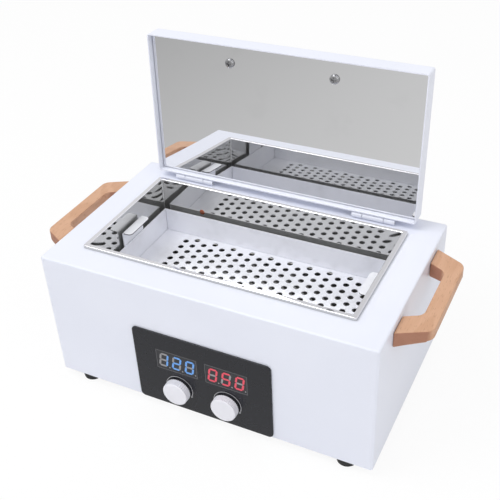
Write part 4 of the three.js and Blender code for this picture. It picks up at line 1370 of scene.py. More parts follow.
@dataclass
class CaseShell:
    """The folded white case with its openings, and the base plate in it."""

    sheet: float = 1.0 * MM
    bend: float = 2.4 * MM
    edge: float = 1.8 * MM
    mouth: Pair = (256.6 * MM, 128.6 * MM)
    mouth_corner: float = 3.3 * MM
    front_flange: float = 27 * MM
    side_flange: float = 14 * MM
    window_margin: float = 0.3 * MM
    rear_slots: SlotRow = SlotRow(9, 11 * MM, 62 * MM, 30 * MM)
    rear_slot_level: float = 48 * MM
    base_slots: SlotRow = SlotRow(6, 15 * MM, -96 * MM, 34 * MM)
    base_slot_place: float = 47.75 * MM
    pillar: float = 3 * MM
    pillar_inset: float = 5 * MM

    def build(self) -> None:
        """Builds the case and the base plate."""
        self.case()
        self.base_plate()

    def case(self) -> None:
        """Builds the case as a thin shell."""
        x, y, z = spans_of("outer_case")
        shell = box("case_shell", x, y, z).ease(UPRIGHT, self.bend, 5)
        for level in z:
            shell.ease(crossing(Axis.Z, level), self.edge)
        shell.thicken(self.sheet)
        middle = sum(spans_of("inner_tank")[1]) / 2
        mouth_x, mouth_y = span(0.0, self.mouth[0]), span(middle, self.mouth[1])
        mouth = box("mouth", mouth_x, mouth_y, span(z[1], 10 * MM))
        mouth.ease(UPRIGHT, self.mouth_corner, 5)
        under_x, under_y = shrunk(x, self.side_flange), shrunk(y, self.front_flange)
        underside = box("underside", under_x, under_y, span(z[0], 10 * MM))
        front, rear = (span(wall, 6 * MM) for wall in y)
        shell.carve(
            mouth,
            underside,
            *panel_openings(front, self.window_margin),
            INLET.opening(rear),
            SWITCH.opening(rear),
            self.rear_slots.cutter(Axis.Y, rear, self.rear_slot_level),
        )
        shell.hand_over(WHITE_PAINT, "case", "outer_case")

    def base_plate(self) -> None:
        """Builds the base plate with its air slots and the pillars of the power board."""
        x, y, (low, high) = spans_of("base_plate")
        plate = box("base_sheet", x, y, (low, low + self.sheet)).ease(UPRIGHT, self.bend, 5)
        through = (low - 3 * MM, low + self.sheet + 3 * MM)
        for level in span(sum(y) / 2, 2 * self.base_slot_place):
            plate.carve(self.base_slots.cutter(Axis.Z, through, level))
        board_x, board_y, _ = spans_of("power_board")
        ends = (low + self.sheet / 2, high)
        inset = self.pillar_inset
        for place in corners(shrunk(board_x, inset), shrunk(board_y, inset)):
            plate.weld(rod("pillar", Axis.Z, self.pillar, ends, place))
        plate.hand_over(ZINC, "case", "base_plate")


@dataclass
class Feet:
    """Four rubber feet, each with a pan-head screw in its recess."""

    radius: float = 10 * MM
    sole: float = 9 * MM
    chamfer: float = 1 * MM
    recess: Pair = (5 * MM, 4 * MM)
    screw: PanScrew = PanScrew(3.8 * MM, 2.4 * MM, 10 * MM)

    def build(self) -> None:
        """Builds one foot and one screw, and copies them to their places."""
        height = spans_of("foot_front_left")[2][1]
        foot = rod("foot", Axis.Z, self.radius, (0.0, height), sides=48)
        taper = self.sole / self.radius
        foot.pick(Pick.FACES, facing(Axis.Z, -1)).resize((taper, taper, 1.0))
        foot.ease(crossing(Axis.Z, 0.0), self.chamfer)
        radius, depth = self.recess
        foot.carve(
            rod("recess", Axis.Z, radius, (-MM, depth), sides=40),
            rod("bore", Axis.Z, SCREW_HOLE, (0.0, height + MM)),
        ).soften(0.25 * MM)
        screw = self.screw.build("foot_screw")
        level = spans_of("foot_screw_front_left")[2][0]
        for label in (f"{end}_{side.label}" for end in ("front", "rear") for side in Side):
            place = mids(*spans_of(f"foot_{label}")[:2])
            rubber = foot.copy(f"rubber_foot_{label}").place((*place, 0.0))
            rubber.hand_over(RUBBER, "case", f"foot_{label}")
            fixing = screw.copy(f"foot_fixing_{label}").place((*place, level), UPSIDE_DOWN)
            fixing.hand_over(ZINC, "case", f"foot_screw_{label}")
        foot.discard()
        screw.discard()


@dataclass
class Tank:
    """The polished inner tank with its folded rim, and the probe in its rear wall."""

    size: Pair = (254 * MM, 126 * MM)
    rim: float = 4.5 * MM
    lip: float = 2.7 * MM
    sheet: float = 1.0 * MM
    corner: float = 2.0 * MM
    inner_corner: float = 1.0 * MM
    rolled: float = 0.8 * MM
    floor: float = 80.5 * MM
    floor_bend: float = 1.5 * MM
    stud: float = 2 * MM
    stud_spread: Pair = (180 * MM, 70 * MM)
    mitre: Triple = (7.2 * MM, 0.25 * MM, 0.3 * MM)
    probe_drop: float = 2.5 * MM
    probe_radius: float = 3.2 * MM
    probe_dome: float = 1.6 * MM
    collar: Triple = (5 * MM, 2 * MM, 4 * MM)

    def build(self) -> None:
        """Builds the tank and the probe."""
        self.tank()
        self.probe()

    def tank(self) -> None:
        """Builds the tank as a folded shell with mitred corners on its rim."""
        x, y, z = spans_of("inner_tank")
        top, middle, under = z[1], sum(y) / 2, self.floor - self.sheet
        in_x, in_y = span(0.0, self.size[0]), span(middle, self.size[1])
        out_x, out_y = shrunk(in_x, -self.sheet), shrunk(in_y, -self.sheet)
        tank = self.block("tank_shell", out_x, out_y, (under, top - 0.5 * MM))
        tank.ease(crossing(Axis.Z, under), self.floor_bend + self.sheet)
        rim = self.block("rim", x, y, (top - self.lip, top))
        rim.ease(crossing(Axis.Z, top), self.rolled)
        hollow_z = (top - self.lip - MM, top - self.sheet)
        hollow = self.block("hollow", shrunk(x, self.sheet), shrunk(y, self.sheet), hollow_z)
        hollow.carve(self.block("core", out_x, out_y, (top - 2 * self.lip, top + MM)))
        inside = box("inside", in_x, in_y, (self.floor, top + 2 * MM))
        inside.ease(UPRIGHT, self.inner_corner, 6)
        inside.ease(crossing(Axis.Z, self.floor), self.floor_bend)
        tank.weld(rim).carve(inside, hollow)
        tank.ease(
            lambda m, way: near(m.z, top)
            and abs(m.x) < self.size[0] / 2 + 2 * CLOSE
            and abs(m.y - middle) < self.size[1] / 2 + 2 * CLOSE,
            self.rolled,
        )
        length, width, deep = self.mitre
        for across, back in corners(shrunk(x, self.rim / 2), shrunk(y, self.rim / 2)):
            turn = math.copysign(math.pi / 4, across * (back - middle))
            groove = box("mitre", span(0.0, length), span(0.0, width), (top - deep, top + MM))
            tank.carve(groove.place((across, back, 0.0), (0.0, 0.0, turn)))
        ends = (z[0], self.floor - self.sheet / 2)
        for place in corners(span(0.0, self.stud_spread[0]), span(middle, self.stud_spread[1])):
            tank.weld(rod("stud", Axis.Z, self.stud, ends, place))
        tank.hand_over(TANK_STEEL, "case", "inner_tank")

    def block(self, name: str, x: Pair, y: Pair, z: Pair) -> Workpiece:
        """A box with the tank's rounded upright corners."""
        return box(name, x, y, z).ease(UPRIGHT, self.corner, 6)

    def probe(self) -> None:
        """Builds the copper probe with its domed tip."""
        x, y, z = spans_of("temperature_probe")
        centre = (sum(x) / 2, sum(z) / 2 - self.probe_drop)
        probe = rod("probe_sheath", Axis.Y, self.probe_radius, y, centre, 32)
        probe.ease(crossing(Axis.Y, y[0]), self.probe_dome, 5)
        radius, start, end = self.collar
        probe.weld(rod("collar", Axis.Y, radius, (y[0] + start, y[0] + end), centre, 32))
        probe.soften(0.2 * MM).hand_over(PROBE, "case", "temperature_probe")


@dataclass
class Tray:
    """The lift-out tray: folded frame, perforated floor and bent handles."""

    sheet: float = 0.8 * MM
    fold: float = 1.2 * MM
    corner: float = 0.7 * MM
    ledge: float = 12 * MM
    floor_gap: float = 0.3 * MM
    leg: Triple = (12 * MM, 84.6 * MM, 7.3 * MM)
    slit: Triple = (0.4 * MM, 2 * MM, 1.6 * MM)
    hole: float = 3.0 * MM
    pitch: Pair = (10.4 * MM, 10.7 * MM)
    shift: float = 5.3 * MM
    columns: int = 20
    rows: int = 10
    tab_corner: float = 4 * MM
    tab_bend: float = 1.8 * MM
    tab_sheet: float = 1.0 * MM
    tab_edge: Pair = (0.1 * MM, 0.12 * MM)
    tab_inset: float = 2.2 * MM

    def build(self) -> None:
        """Builds the tray's pieces."""
        self.walls()
        self.floor()
        for side in Side:
            self.handle(side)

    def walls(self) -> None:
        """Folds the frame: four walls, and a ledge at both ends that carries the floor."""
        x, y, (_, top) = spans_of("tray_frame")
        bottom = spans_of("tray_floor")[2][0] - self.floor_gap - self.sheet
        in_x, in_y = shrunk(x, self.sheet), shrunk(y, self.sheet)
        walls = box("tray_walls", x, y, (bottom, top))
        walls.ease(crossing(Axis.Z, bottom), self.fold).ease(UPRIGHT, self.corner, 3)
        hollow = box("hollow", in_x, in_y, (bottom + self.sheet, top + MM))
        walls.carve(hollow, box("opening", shrunk(in_x, self.ledge), in_y, (bottom - MM, top)))
        long, apart, deep = self.leg
        leg_z = (bottom + self.sheet - deep, bottom + 2 * self.sheet)
        legs = corners(shrunk(x, self.sheet / 2), span(sum(y) / 2, apart))
        wide, above, below = self.slit
        slit_z = (bottom + above, top - below)
        slits = corners(shrunk(in_x, wide / 2), shrunk(y, self.sheet / 2))
        for (leg_x, leg_y), (slit_x, slit_y) in zip(legs, slits):
            walls.weld(box("leg", span(leg_x, self.sheet), span(leg_y, long), leg_z))
            walls.carve(box("slit", span(slit_x, wide), span(slit_y, 2 * self.sheet), slit_z))
        walls.soften(0.12 * MM, 2, 60.0).hand_over(TRAY_STEEL, "tray", "tray_frame")

    def floor(self) -> None:
        """Punches the floor: columns of holes, every other one shifted by half a pitch."""
        x, y, z = spans_of("tray_floor")
        plate = box("tray_sieve", x, y, z)
        step_x, step_y = self.pitch
        first_x = self.shift - (self.columns - 1) * step_x / 2
        first_y = sum(y) / 2 - (self.rows - 0.5) * step_y / 2
        for shift in (0, 1):
            first = (first_x + shift * step_x, first_y + shift * step_y / 2)
            punch = rod("punch", Axis.Z, self.hole, shrunk(z, -MM), first)
            punch.row(self.rows, Axis.Y, step_y)
            plate.carve(punch.row((self.columns + 1 - shift) // 2, Axis.X, 2 * step_x))
        plate.hand_over(TRAY_STEEL, "tray", "tray_floor")

    def handle(self, side: Side) -> None:
        """Bends one handle: a leg welded to the end wall, turned inwards at its top.

        Args:
            side: The end of the tray that it is on.
        """
        x, y, (low, top) = spans_of(f"tray_handle_{side.label}")
        inner, outer = x if side is Side.RIGHT else x[::-1]
        tab = sheet(f"tray_tab_{side.label}", x, y, top)
        tab.pick(Pick.EDGES, lambda m, way: near(m.x, outer)).extrude(Axis.Z, low - top, Pick.EDGES)
        tab.pick(Pick.POINTS, lambda m, way: near(m.x, inner) or near(m.z, low))
        tab.bevel(self.tab_corner, 6, points=True)
        tab.ease(lambda m, way: near(m.x, outer) and near(m.z, top), self.tab_bend, 5)
        tab.thicken(self.tab_sheet).soften(0.15 * MM)
        # The tab's steel carries painted shade along its free edge.
        steel = TabSteel(
            "sheared tray steel",
            TRAY_STEEL.slot,
            TRAY_STEEL.color,
            metallic=TRAY_STEEL.metallic,
            edge=(top - self.tab_sheet + self.tab_edge[0], top - self.tab_edge[1]),
            inside=abs(outer) - self.tab_inset,
        )
        tab.hand_over(steel, "tray", f"tray_handle_{side.label}")


@dataclass(frozen=True)
class WoodenHandle:
    """A beech handle: length along X, reach along Y, thickness along Z."""

    length: float = 126 * MM
    face: float = 96 * MM
    reach: float = 28.4 * MM
    thickness: float = 15 * MM
    shoulder: float = 5.6 * MM
    opening: float = 79 * MM
    grip_opening: float = 63 * MM
    grip: float = 15 * MM
    throat: float = 4.8 * MM
    overshoot: float = 3 * MM
    bore: float = 13.3 * MM

    def build(self, name: str, taper: float) -> Workpiece:
        """Builds the handle, standing on its own middle.

        Args:
            name: The piece's name.
            taper: How much thinner the grip is than the feet, all taken off below.

        Returns:
            The handle.
        """
        outwards, half = facing(Axis.Y, 1), self.reach / 2
        handle = box(name, span(0.0, self.length), (0.0, self.reach), span(0.0, self.thickness))
        handle.pick(Pick.FACES, outwards).resize((self.face / self.length, 1.0, 1.0))
        handle.ease(lambda m, way: UPRIGHT(m, way) and m.y > half, self.shoulder, 8)
        handle.pick(Pick.POINTS, lambda m, way: m.y > half and m.z < 0.0).move(Axis.Z, taper)
        slope = (self.opening - self.grip_opening) / self.grip
        wide = self.opening + slope * self.overshoot
        y, z = (-self.overshoot, self.grip), span(0.0, 2 * self.thickness)
        cutter = box("grip", span(0.0, wide), y, z)
        cutter.pick(Pick.FACES, outwards).resize((self.grip_opening / wide, 1.0, 1.0))
        cutter.ease(lambda m, way: UPRIGHT(m, way) and m.y > self.grip / 2, self.throat, 8)
        handle.carve(cutter).soften(1.0 * MM, 3, 50.0)
        for across in span(0.0, (self.length + self.opening) / 2):
            handle.carve(rod("bore", Axis.Y, SCREW_HOLE, (-MM, self.bore), (across, 0.0)))
        return handle


@dataclass
class SideHandles:
    """The two handles on the sides of the case."""

    handle: WoodenHandle = WoodenHandle()
    taper: float = 4.5 * MM
    lift: float = 1.5 * MM

    def build(self) -> None:
        """Builds both handles against the side walls."""
        for side in Side:
            x, y, z = spans_of(f"side_handle_{side.label}")
            foot = x[0] if side is Side.RIGHT else x[1]
            grip = self.handle.build(f"side_grip_{side.label}", self.taper)
            place = (foot, sum(y) / 2, sum(z) / 2 + self.lift)
            grip.place(place, (0.0, 0.0, -side.value * math.pi / 2))
            grip.hand_over(BEECH_SIDE, "case", f"side_handle_{side.label}")


@dataclass
class Lid:
    """The lid, built closed about the hinge axis and then swung open."""

    hinge: Triple = (0.0, 65.933 * MM, 145.55 * MM)
    open_angle: float = math.radians(92.0)
    x: Pair = (-135.5 * MM, 135.5 * MM)
    y: Pair = (-146.4 * MM, -3.4 * MM)
    z: Pair = (-2.05 * MM, 16.95 * MM)
    sheet: float = 1.2 * MM
    bend: float = 2.2 * MM
    edge: float = 1.6 * MM
    liner_face: float = 3.95 * MM
    liner_gap: float = 0.6 * MM
    liner_sheet: float = 0.8 * MM
    liner_flange: float = 8 * MM
    liner_bends: Pair = (1.2 * MM, 0.7 * MM)
    handle: WoodenHandle = WoodenHandle()
    handle_y: float = -127.7 * MM
    handle_gap: float = 0.3 * MM
    handle_taper: float = 2.5 * MM
    screw: PanScrew = PanScrew(4.5 * MM, 2.6 * MM, 29 * MM)
    screw_x: float = 51.25 * MM
    screw_gap: float = 0.3 * MM

    def swing(self, piece: Workpiece) -> Workpiece:
        """Swings a piece from closed to open."""
        return piece.place(self.hinge, (-self.open_angle, 0.0, 0.0))

    def drill(self, piece: Workpiece, ends: Pair) -> Workpiece:
        """Drills the holes of both screws."""
        for across in span(0.0, 2 * self.screw_x):
            piece.carve(rod("hole", Axis.Z, SCREW_HOLE, ends, (across, self.handle_y)))
        return piece

    def build(self) -> None:
        """Builds the lid's pieces."""
        self.shell()
        self.liner()
        self.screws()
        grip = self.handle.build("lid_grip", self.handle_taper)
        foot = (0.0, self.handle_y, self.z[1] + self.handle_gap)
        grip.place(foot, (math.pi / 2, 0.0, math.pi))
        self.swing(grip).hand_over(BEECH_LID, "lid", "lid_handle")

    def shell(self) -> None:
        """Presses the pan of the lid."""
        top = self.z[1]
        pan = box("lid_pan", self.x, self.y, self.z).ease(UPRIGHT, self.bend, 5)
        pan.ease(crossing(Axis.Z, top), self.edge).pick(Pick.FACES, facing(Axis.Z, -1)).remove()
        pan.thicken(self.sheet).soften(0.2 * MM, 2, 60.0)
        self.swing(self.drill(pan, span(top, 8 * MM))).hand_over(WHITE_PAINT, "lid", "lid_shell")

    def liner(self) -> None:
        """Folds the polished sheet that lines the lid."""
        margin = self.sheet + self.liner_gap
        x, y = shrunk(self.x, margin), shrunk(self.y, margin)
        liner = sheet("lid_mirror", x, y, self.liner_face)
        liner.pick_all().extrude(Axis.Z, self.liner_flange).remove()
        liner.ease(UPRIGHT, self.liner_bends[0])
        liner.ease(crossing(Axis.Z, self.liner_face), self.liner_bends[1])
        liner.face_outwards().thicken(self.liner_sheet)
        self.drill(liner, span(self.liner_face, 6 * MM))
        self.swing(liner).hand_over(LID_MIRROR, "lid", "lid_liner")

    def screws(self) -> None:
        """Places the two screws that hold the lid's handle."""
        level = self.liner_face - self.screw_gap - self.screw.height
        for side in Side:
            screw = self.screw.build(f"lid_fixing_{side.label}")
            screw.place((side.value * self.screw_x, self.handle_y, level), UPSIDE_DOWN)
            self.swing(screw).hand_over(SCREW_STEEL, "lid", f"lid_screw_{side.label}")


@dataclass
class Hinges:
    """Two butt hinges with three knuckles, drawn about the hinge axis."""

    lid: Lid
    length: float = 42 * MM
    centre: float = 95 * MM
    knuckle: float = 2.75 * MM
    rounding: float = 0.7 * MM
    bore: float = 1.5 * MM
    pin: float = 1.2 * MM
    leaf: float = 1.0 * MM
    case_reach: float = 16 * MM
    case_corner: float = 2 * MM
    lid_reach: float = 14 * MM
    lid_offset: float = 3.4 * MM
    gap: float = 0.3 * MM
    stop: float = 0.962 * MM

    def build(self) -> None:
        """Builds both hinges."""
        for side in Side:
            middle = side.value * self.centre
            whole, inner = span(middle, self.length), span(middle, self.length / 2)
            outer = ((whole[0], inner[0] - self.gap / 2), (inner[1] + self.gap / 2, whole[1]))
            self.case_leaf(side, whole, outer)
            self.lid_leaf(side, whole, shrunk(inner, self.gap / 2))
            pin = rod(f"hinge_axle_{side.label}", Axis.X, self.pin, whole, sides=32)
            pin.soften(0.2 * MM).place(self.lid.hinge)
            pin.hand_over(ZINC, "case", f"hinge_pin_{side.label}")

    def knuckled(
        self, leaf: Workpiece, whole: Pair, knuckles: tuple[Pair, ...], y: Pair, z: Pair
    ) -> Workpiece:
        """Welds knuckles and their arms to a leaf, and bores them for the pin.

        Args:
            leaf: The leaf.
            whole: Its stretch along X.
            knuckles: Where each knuckle starts and ends along X.
            y: The arms' stretch along Y.
            z: The arms' stretch along Z.

        Returns:
            The leaf.
        """
        for x in knuckles:
            arm = box("arm", shrunk(x, self.rounding), y, z)
            knuckle = rod("knuckle", Axis.X, self.knuckle, x, sides=40)
            leaf.weld(arm, knuckle.soften(self.rounding, 3, 60.0))
        bore = rod("bore", Axis.X, self.bore, shrunk(whole, -4 * MM), sides=32)
        return leaf.carve(bore).soften(0.15 * MM, 2, 60.0)

    def case_leaf(self, side: Side, whole: Pair, outer: tuple[Pair, ...]) -> None:
        """Builds the leaf on the case with its two outer knuckles.

        Args:
            side: The hinge's side.
            whole: The leaf's stretch along X.
            outer: The stretches of its knuckles.
        """
        z = (-self.knuckle, -self.knuckle + self.leaf)
        clear = self.knuckle + self.gap
        leaf = box(f"hinge_base_{side.label}", whole, (clear, self.case_reach), z)
        leaf.ease(lambda m, way: UPRIGHT(m, way) and m.y > clear + MM, self.case_corner, 5)
        self.knuckled(leaf, whole, outer, (0.0, self.case_reach / 2), z).place(self.lid.hinge)
        leaf.hand_over(WHITE_PAINT, "case", f"hinge_case_leaf_{side.label}")

    def lid_leaf(self, side: Side, whole: Pair, inner: Pair) -> None:
        """Builds the leaf on the lid, with its knuckle and its turned far edge.

        Args:
            side: The hinge's side.
            whole: The leaf's stretch along X.
            inner: The stretch of its knuckle.
        """
        front = self.gap - self.lid_offset
        y = (front, front + self.leaf)
        z = (self.knuckle + self.gap, self.lid_reach)
        leaf = box(f"hinge_flap_{side.label}", whole, y, z)
        leaf.weld(box("stop", whole, (front, self.stop), (z[1] - self.leaf, z[1])))
        self.knuckled(leaf, whole, (inner,), y, (0.0, self.lid_reach / 2))
        self.lid.swing(leaf).hand_over(WHITE_PAINT, "lid", f"hinge_lid_leaf_{side.label}")


@dataclass
class Panel:
    """The panel film, the displays with their digits, and the printed turning arrows."""

    corner: float = 4.5 * MM
    brow: float = 0.35 * MM
    window_margin: float = 0.15 * MM
    bezel: float = 0.9 * MM
    sink: float = 0.4 * MM
    layer: float = 0.1 * MM
    air: float = 0.02 * MM
    digit: Pair = (9.1 * MM, 15.5 * MM)
    digit_pitch: float = 13.2 * MM
    stroke: float = 1.9 * MM
    nick: float = 0.35 * MM
    slant: float = math.radians(8.0)
    point: float = 0.65 * MM
    point_gap: Pair = (1.0 * MM, 0.4 * MM)
    arc_radius: float = 13.6 * MM
    arc_width: float = 0.45 * MM
    arc_end: float = math.radians(207.0)
    print_gap: Pair = (0.06 * MM, 0.01 * MM)
    arrow_head: float = 1.3 * MM

    def build(self) -> None:
        """Builds the film, both displays and the arrows."""
        self.film()
        self.display("time", BLUE_LIT, (Lit.ONE, Lit.TWO, Lit.ZERO))
        self.display("temperature", RED_LIT, (Lit.ZERO, Lit.FIVE, Lit.ZERO))
        for dial in DIALS:
            self.arrow(dial)

    def film(self) -> None:
        """Cuts the film to its outline, with the display windows."""
        x, y, z = spans_of("front_overlay")
        film = box("panel_film", x, y, z).ease(running(Axis.Y), self.corner, 8)
        film.ease(crossing(Axis.Y, y[0]), self.brow, 3)
        film.carve(*panel_openings(shrunk(y, -3 * MM), self.window_margin))
        film.hand_over(FILM, "case", "front_overlay")

    def display(self, dial: str, lit: Finish, digits: tuple[Lit, ...]) -> None:
        """Builds one display: its body with a narrow frame, its face and its digits.

        Args:
            dial: What the display shows.
            lit: The finish of its lit segments.
            digits: Its digits.
        """
        x, y, z = spans_of(f"{dial}_display")
        body = box(f"{dial}_display_frame", x, y, z)
        body.pick(Pick.FACES, facing(Axis.Y, -1)).inset(self.bezel).extrude(Axis.Y, self.sink)
        body.soften(0.1 * MM).hand_over(BEZEL, "case", f"{dial}_display")
        back = y[0] + self.sink - self.air
        face_x, face_z = shrunk(x, self.bezel), shrunk(z, self.bezel)
        face = box(f"{dial}_display_face", face_x, (back - self.layer, back), face_z)
        face.soften(0.04 * MM).hand_over(LENS, "case")
        self.digits(dial, mids(x, z), back - self.layer - self.air, lit, digits)

    def digits(
        self, dial: str, centre: Pair, back: float, lit: Finish, digits: tuple[Lit, ...]
    ) -> None:
        """Lays the segments and the points of three digits on a display's face.

        Args:
            dial: What the display shows.
            centre: The display's middle along X and Z.
            back: Where the segments' back lies.
            lit: The finish of the lit segments.
            digits: The digits.
        """
        bright: list[Workpiece] = []
        dull: list[Workpiece] = []
        level = centre[1] - self.digit[1] / 2 + self.point_gap[1]
        for place, digit in enumerate(digits):
            middle = centre[0] + (place - 1) * self.digit_pitch
            for letter, segment in self.segments(middle, centre[1], back).items():
                (bright if letter in digit.value else dull).append(segment)
            at = (middle + self.digit[0] / 2 + self.point_gap[0], level)
            dull.append(rod("point", Axis.Y, self.point, (back - self.layer, back), at, 16))
        for state, parts, finish in (("lit", bright, lit), ("unlit", dull, UNLIT_PAINTED_GLOW)):
            whole = Workpiece(parts[0].thing, f"{dial}_digits_{state}")
            whole.gather(*parts[1:]).hand_over(finish, "case")

    def segments(self, middle: float, level: float, back: float) -> dict[str, Workpiece]:
        """Makes the seven segments of a digit, leaning to the right.

        Args:
            middle: The digit's middle along X.
            level: The digit's middle along Z.
            back: Where the segments' back lies.

        Returns:
            The segments by letter.
        """
        wide, tall = ((size - self.stroke) / 2 for size in self.digit)
        places = {
            "a": (0.0, tall),
            "g": (0.0, 0.0),
            "d": (0.0, -tall),
            "f": (-wide, tall / 2),
            "b": (wide, tall / 2),
            "e": (-wide, -tall / 2),
            "c": (wide, -tall / 2),
        }
        lean = math.tan(self.slant)
        made = {}
        for letter, (across, up) in places.items():
            place = (middle + across + up * lean, back - self.layer / 2, level + up)
            flat = letter in "agd"
            length = (2 * wide if flat else tall) - self.nick
            made[letter] = self.bar(length, lean, flat).place(place)
        return made

    def bar(self, length: float, lean: float, flat: bool) -> Workpiece:
        """Makes one pointed bar of a digit, round the origin.

        Args:
            length: Its length.
            lean: How far it leans where it stands up, as a slope.
            flat: Whether it lies flat.

        Returns:
            The bar.
        """
        half = length / 2
        bar = box("segment", (-half, half), span(0.0, self.layer), span(0.0, self.stroke))
        bar.ease(running(Axis.Y), 0.49 * self.stroke, 1)
        if not flat:
            bar.place(ORIGIN, Axis.X.turn())
            for sign in (-1, 1):
                bar.pick(Pick.POINTS, lambda m, way: sign * m.z > 0.3 * half)
                bar.move(Axis.X, sign * lean * (half - 0.25 * self.stroke))
        return bar

    def arrow(self, dial: str) -> None:
        """Prints the thin arc round a knob, from its left over its top, with an arrow head.

        Args:
            dial: The knob's dial.
        """
        x, _, z = spans_of(f"{dial}_control")
        y = tuple(spans_of("front_overlay")[1][0] - gap for gap in self.print_gap)
        arc = box(f"{dial}_arrow", span(0.0, self.arc_width), y, (0.0, 0.2 * MM))
        arc.pick(Pick.FACES, facing(Axis.Z, -1)).remove().place((-self.arc_radius, 0.0, 0.0))
        arc.pick(Pick.FACES, facing(Axis.Z, 1)).spin((0.0, -1.0, 0.0), self.arc_end, 48)
        head = rod("head", Axis.Y, self.arrow_head, y, sides=3)
        head.place(ORIGIN, (0.0, self.arc_end + math.pi, 0.0))
        radius, end = self.arc_radius, self.arc_end
        head.place((-radius * math.cos(end), 0.0, radius * math.sin(end)))
        arc.gather(head).place((sum(x) / 2, 0.0, sum(z) / 2)).hand_over(INK, "case")


@dataclass
class Knob:
    """A white knob with a fluted side and a smooth, rounded face."""

    radius: float = 12.5 * MM
    shoulder: float = 12.3 * MM
    setback: float = 0.8 * MM
    body: float = 7.0 * MM
    neck: float = 9.5 * MM
    bore: Pair = (2.8 * MM, 7.3 * MM)
    ribs: int = 40
    flute: float = 0.6 * MM
    brow: tuple[Pair, ...] = (
        (1.0 * MM, 12.3 * MM),
        (0.6 * MM, 12.15 * MM),
        (0.3 * MM, 11.85 * MM),
        (0.1 * MM, 11.45 * MM),
        (0.0, 10.9 * MM),
    )

    def build(self) -> None:
        """Builds one knob and copies it to both shafts."""
        _, y, _ = spans_of("time_knob")
        depth = y[1] - y[0] - self.setback
        start = self.brow[0][0]
        front = facing(Axis.Y, -1)
        knob = rod("knob", Axis.Y, self.radius, (start, self.body), sides=4 * self.ribs)
        self.narrow(knob.pick(Pick.FACES, front), self.shoulder / self.radius)
        knob.pick(Pick.FACES, front)
        for before, after in zip(self.brow, self.brow[1:]):
            self.narrow(knob.extrude(Axis.Y, after[0] - before[0]), after[1] / before[1])
        turn = 2 * math.pi / self.ribs
        knob.pick(
            Pick.POINTS,
            lambda m, way: m.y > start - CLOSE
            and (math.atan2(m.z, m.x) + turn / 8) % turn > turn / 2,
        )
        self.narrow(knob, 1.0 - self.flute / self.radius)
        knob.weld(rod("neck", Axis.Y, self.neck, (self.body - MM, depth), sides=48))
        radius, deep = self.bore
        knob.carve(rod("bore", Axis.Y, radius, (depth - deep, depth + MM), sides=32))
        for dial in DIALS:
            x, y, z = spans_of(f"{dial}_knob")
            copy = knob.copy(f"{dial}_fluted_knob")
            copy.place((sum(x) / 2, y[0] + self.setback, sum(z) / 2))
            copy.hand_over(KNOB_WHITE, f"{dial}_dial", f"{dial}_knob", angle=40.0)
        knob.discard()

    @staticmethod
    def narrow(knob: Workpiece, factor: float) -> None:
        """Draws the selection in towards the knob's axis."""
        knob.resize((factor, 1.0, factor))


@dataclass
class RearFittings:
    """The mains inlet and the power switch in the rear wall."""

    blade: Triple = (2 * MM, 12 * MM, 4 * MM)
    blade_root: float = 0.2 * MM
    blade_tip: float = 0.6 * MM
    blade_places: tuple[Pair, ...] = ((-7 * MM, 0.0), (0.0, 4 * MM), (7 * MM, 0.0))

    def build(self) -> None:
        """Builds the inlet, its blades, the switch's frame and its rocker."""
        INLET.build()
        self.blades()
        SWITCH.build()
        rocker = Workpiece.from_solid("power_rocker", "switch_rocker")
        rocker.soften(0.35 * MM, 3, 25.0).hand_over(BLACK, "rocker", "power_rocker")

    def blades(self) -> None:
        """Sets the three blades in the inlet's well."""
        wide, length, tall = self.blade
        back = spans_of(INLET.node)[1][1] - INLET.depth
        y = (back - self.blade_root, back + length)
        blades = []
        for across, up in self.blade_places:
            x, z = span(INLET.centre[0] + across, wide), span(INLET.centre[1] + up, tall)
            blade = box("inlet_blades", x, y, z)
            blades.append(blade.ease(crossing(Axis.Y, y[1]), self.blade_tip, 3))
        blades[0].gather(*blades[1:]).hand_over(BLADE, "case")


@dataclass
class HiddenParts:
    """The solids that keep their own shape and get their finish here."""

    def build(self) -> None:
        """Gives each solid its material."""
        ends = [f"{side.label}_{end}" for side in Side for end in ("front", "rear")]
        screws = [f"side_handle_screw_{end}" for end in ends]
        finishes: dict[Finish, tuple[str, ...]] = {
            MICA: ("heater_plate",),
            WOOL: ("insulation_jacket", "lid_insulation"),
            BOARD: ("control_board", "power_board"),
            CORE: ("transformer",),
            BLACK: ("thermal_cutout", "relay"),
            SHEATH: ("heater_cable", "display_ribbon", "switch_cable", "mains_cable"),
            SHAFT_STEEL: ("time_shaft", "temperature_shaft"),
            ZINC: ("heater_clamp_plate", "time_control", "temperature_control", *screws),
        }
        for finish, nodes in finishes.items():
            for node in nodes:
                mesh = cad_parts[node].data
                mesh.materials.clear()
                mesh.materials.append(finish.material())
                LOG.info("finished %s as %s", node, finish.name)


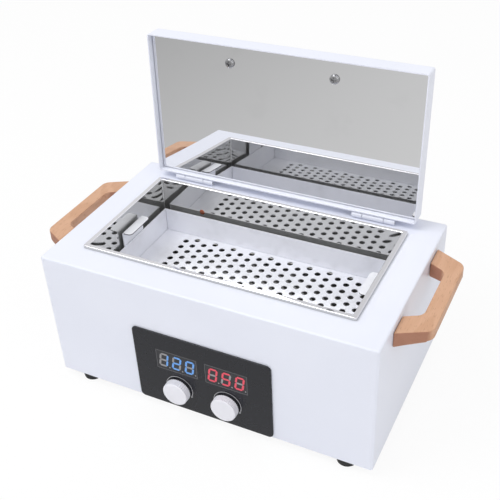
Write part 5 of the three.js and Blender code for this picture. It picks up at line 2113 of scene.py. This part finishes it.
@dataclass
class Studio:
    """The floor, the light and the camera."""

    camera_place: Triple = (0.294858, -0.560609, 0.567123)
    camera_turn: Triple = (0.9618993, 0.0410505, 0.45711486)
    lens: float = 59.88
    floor_size: float = 8.0
    floor_tone: Triple = (0.96, 0.96, 0.96)
    ambient: float = 0.64
    gleam: float = 0.8
    mirrored: Pair = (0.42, 0.68)
    mirrored_x: Pair = (-1.1, 0.3)
    shadow: float = 0.1
    lamps: tuple[tuple[str, Triple, float, float], ...] = (
        ("key", (-0.75, -0.58, 1.95), 1.1, 17.0),
        ("fill", (1.1, -0.5, 1.2), 1.4, 4.4),
    )
    aim: Triple = (0.0, 0.0, 0.1)

    def build(self) -> None:
        """Sets up the studio."""
        bpy.context.scene.view_settings.view_transform = "Standard"
        self.world()
        self.floor()
        for lamp in self.lamps:
            self.lamp(*lamp)
        self.camera()

    def world(self) -> None:
        """Makes a surround that is white to the eye, pale in metal, and softer as light."""
        bpy.context.scene.world = bpy.data.worlds.new("surround")
        r = Recipe(bpy.context.scene.world)
        seen = r.ray("Camera") * (1.0 - self.ambient)
        level = seen + r.mirrored() * (self.gleam - self.ambient) + self.ambient
        light = {"Color": (1.0, 1.0, 1.0), "Strength": level}
        r.close(r.node("ShaderNodeBackground", inputs=light), "ShaderNodeOutputWorld")

    def floor(self) -> None:
        """Makes a floor that is white to the camera but for shadow, and grey in mirrors."""
        stretch = span(0.0, self.floor_size)
        ground = sheet("floor", stretch, stretch, 0.0).thing
        r = Recipe.material("studio floor")
        matt = r.node("ShaderNodeBsdfDiffuse", inputs={"Color": self.floor_tone})
        white = r.node("ShaderNodeEmission", inputs={"Color": (1.0, 1.0, 1.0)})
        low, high = self.mirrored
        tone = r.along(Axis.X).rise(*self.mirrored_x) * (high - low) + low
        grey = r.node("ShaderNodeEmission", inputs={"Strength": tone})
        eye = r.ray("Camera") * (1.0 - self.shadow)
        seen = r.node("ShaderNodeMixShader", inputs={0: eye, 1: matt, 2: white})
        both = r.node("ShaderNodeMixShader", inputs={0: r.mirrored(), 1: seen, 2: grey})
        ground.data.materials.append(r.close(both))

    def lamp(self, name: str, place: Triple, size: float, power: float) -> None:
        """Hangs a square soft lamp that looks at the object.

        Args:
            name: Its name.
            place: Where it hangs.
            size: The length of its sides.
            power: Its power in watts.
        """
        light = bpy.data.lights.new(name, "AREA")
        light.size = size
        light.energy = power
        lamp = bpy.data.objects.new(name, light)
        bpy.context.scene.collection.objects.link(lamp)
        lamp.location = place
        way = Vector(self.aim) - Vector(place)
        lamp.rotation_euler = way.to_track_quat("-Z", "Y").to_euler()

    def camera(self) -> None:
        """Sets the camera at the photograph's angle. The picture's size of 500 pixels square is not
        set here.
        """
        data = bpy.data.cameras.new("camera")
        data.sensor_width = 36.0
        data.sensor_fit = "HORIZONTAL"
        data.lens = self.lens
        data.clip_start = 0.01
        camera = bpy.data.objects.new("camera", data)
        bpy.context.scene.collection.objects.link(camera)
        camera.location = self.camera_place
        camera.rotation_euler = self.camera_turn
        bpy.context.scene.camera = camera


def main() -> None:
    """Builds the sterilizer's looks and the studio round it."""
    logging.basicConfig(level=logging.INFO, format="%(name)s: %(message)s")
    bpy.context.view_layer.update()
    lid = Lid()
    for assembly in (
        CaseShell(),
        Feet(),
        Tank(),
        Tray(),
        lid,
        Hinges(lid),
        SideHandles(),
        Panel(),
        Knob(),
        RearFittings(),
        HiddenParts(),
        Studio(),
    ):
        LOG.info("building %s", type(assembly).__name__)
        assembly.build()


if __name__ == "__main__":
    main()
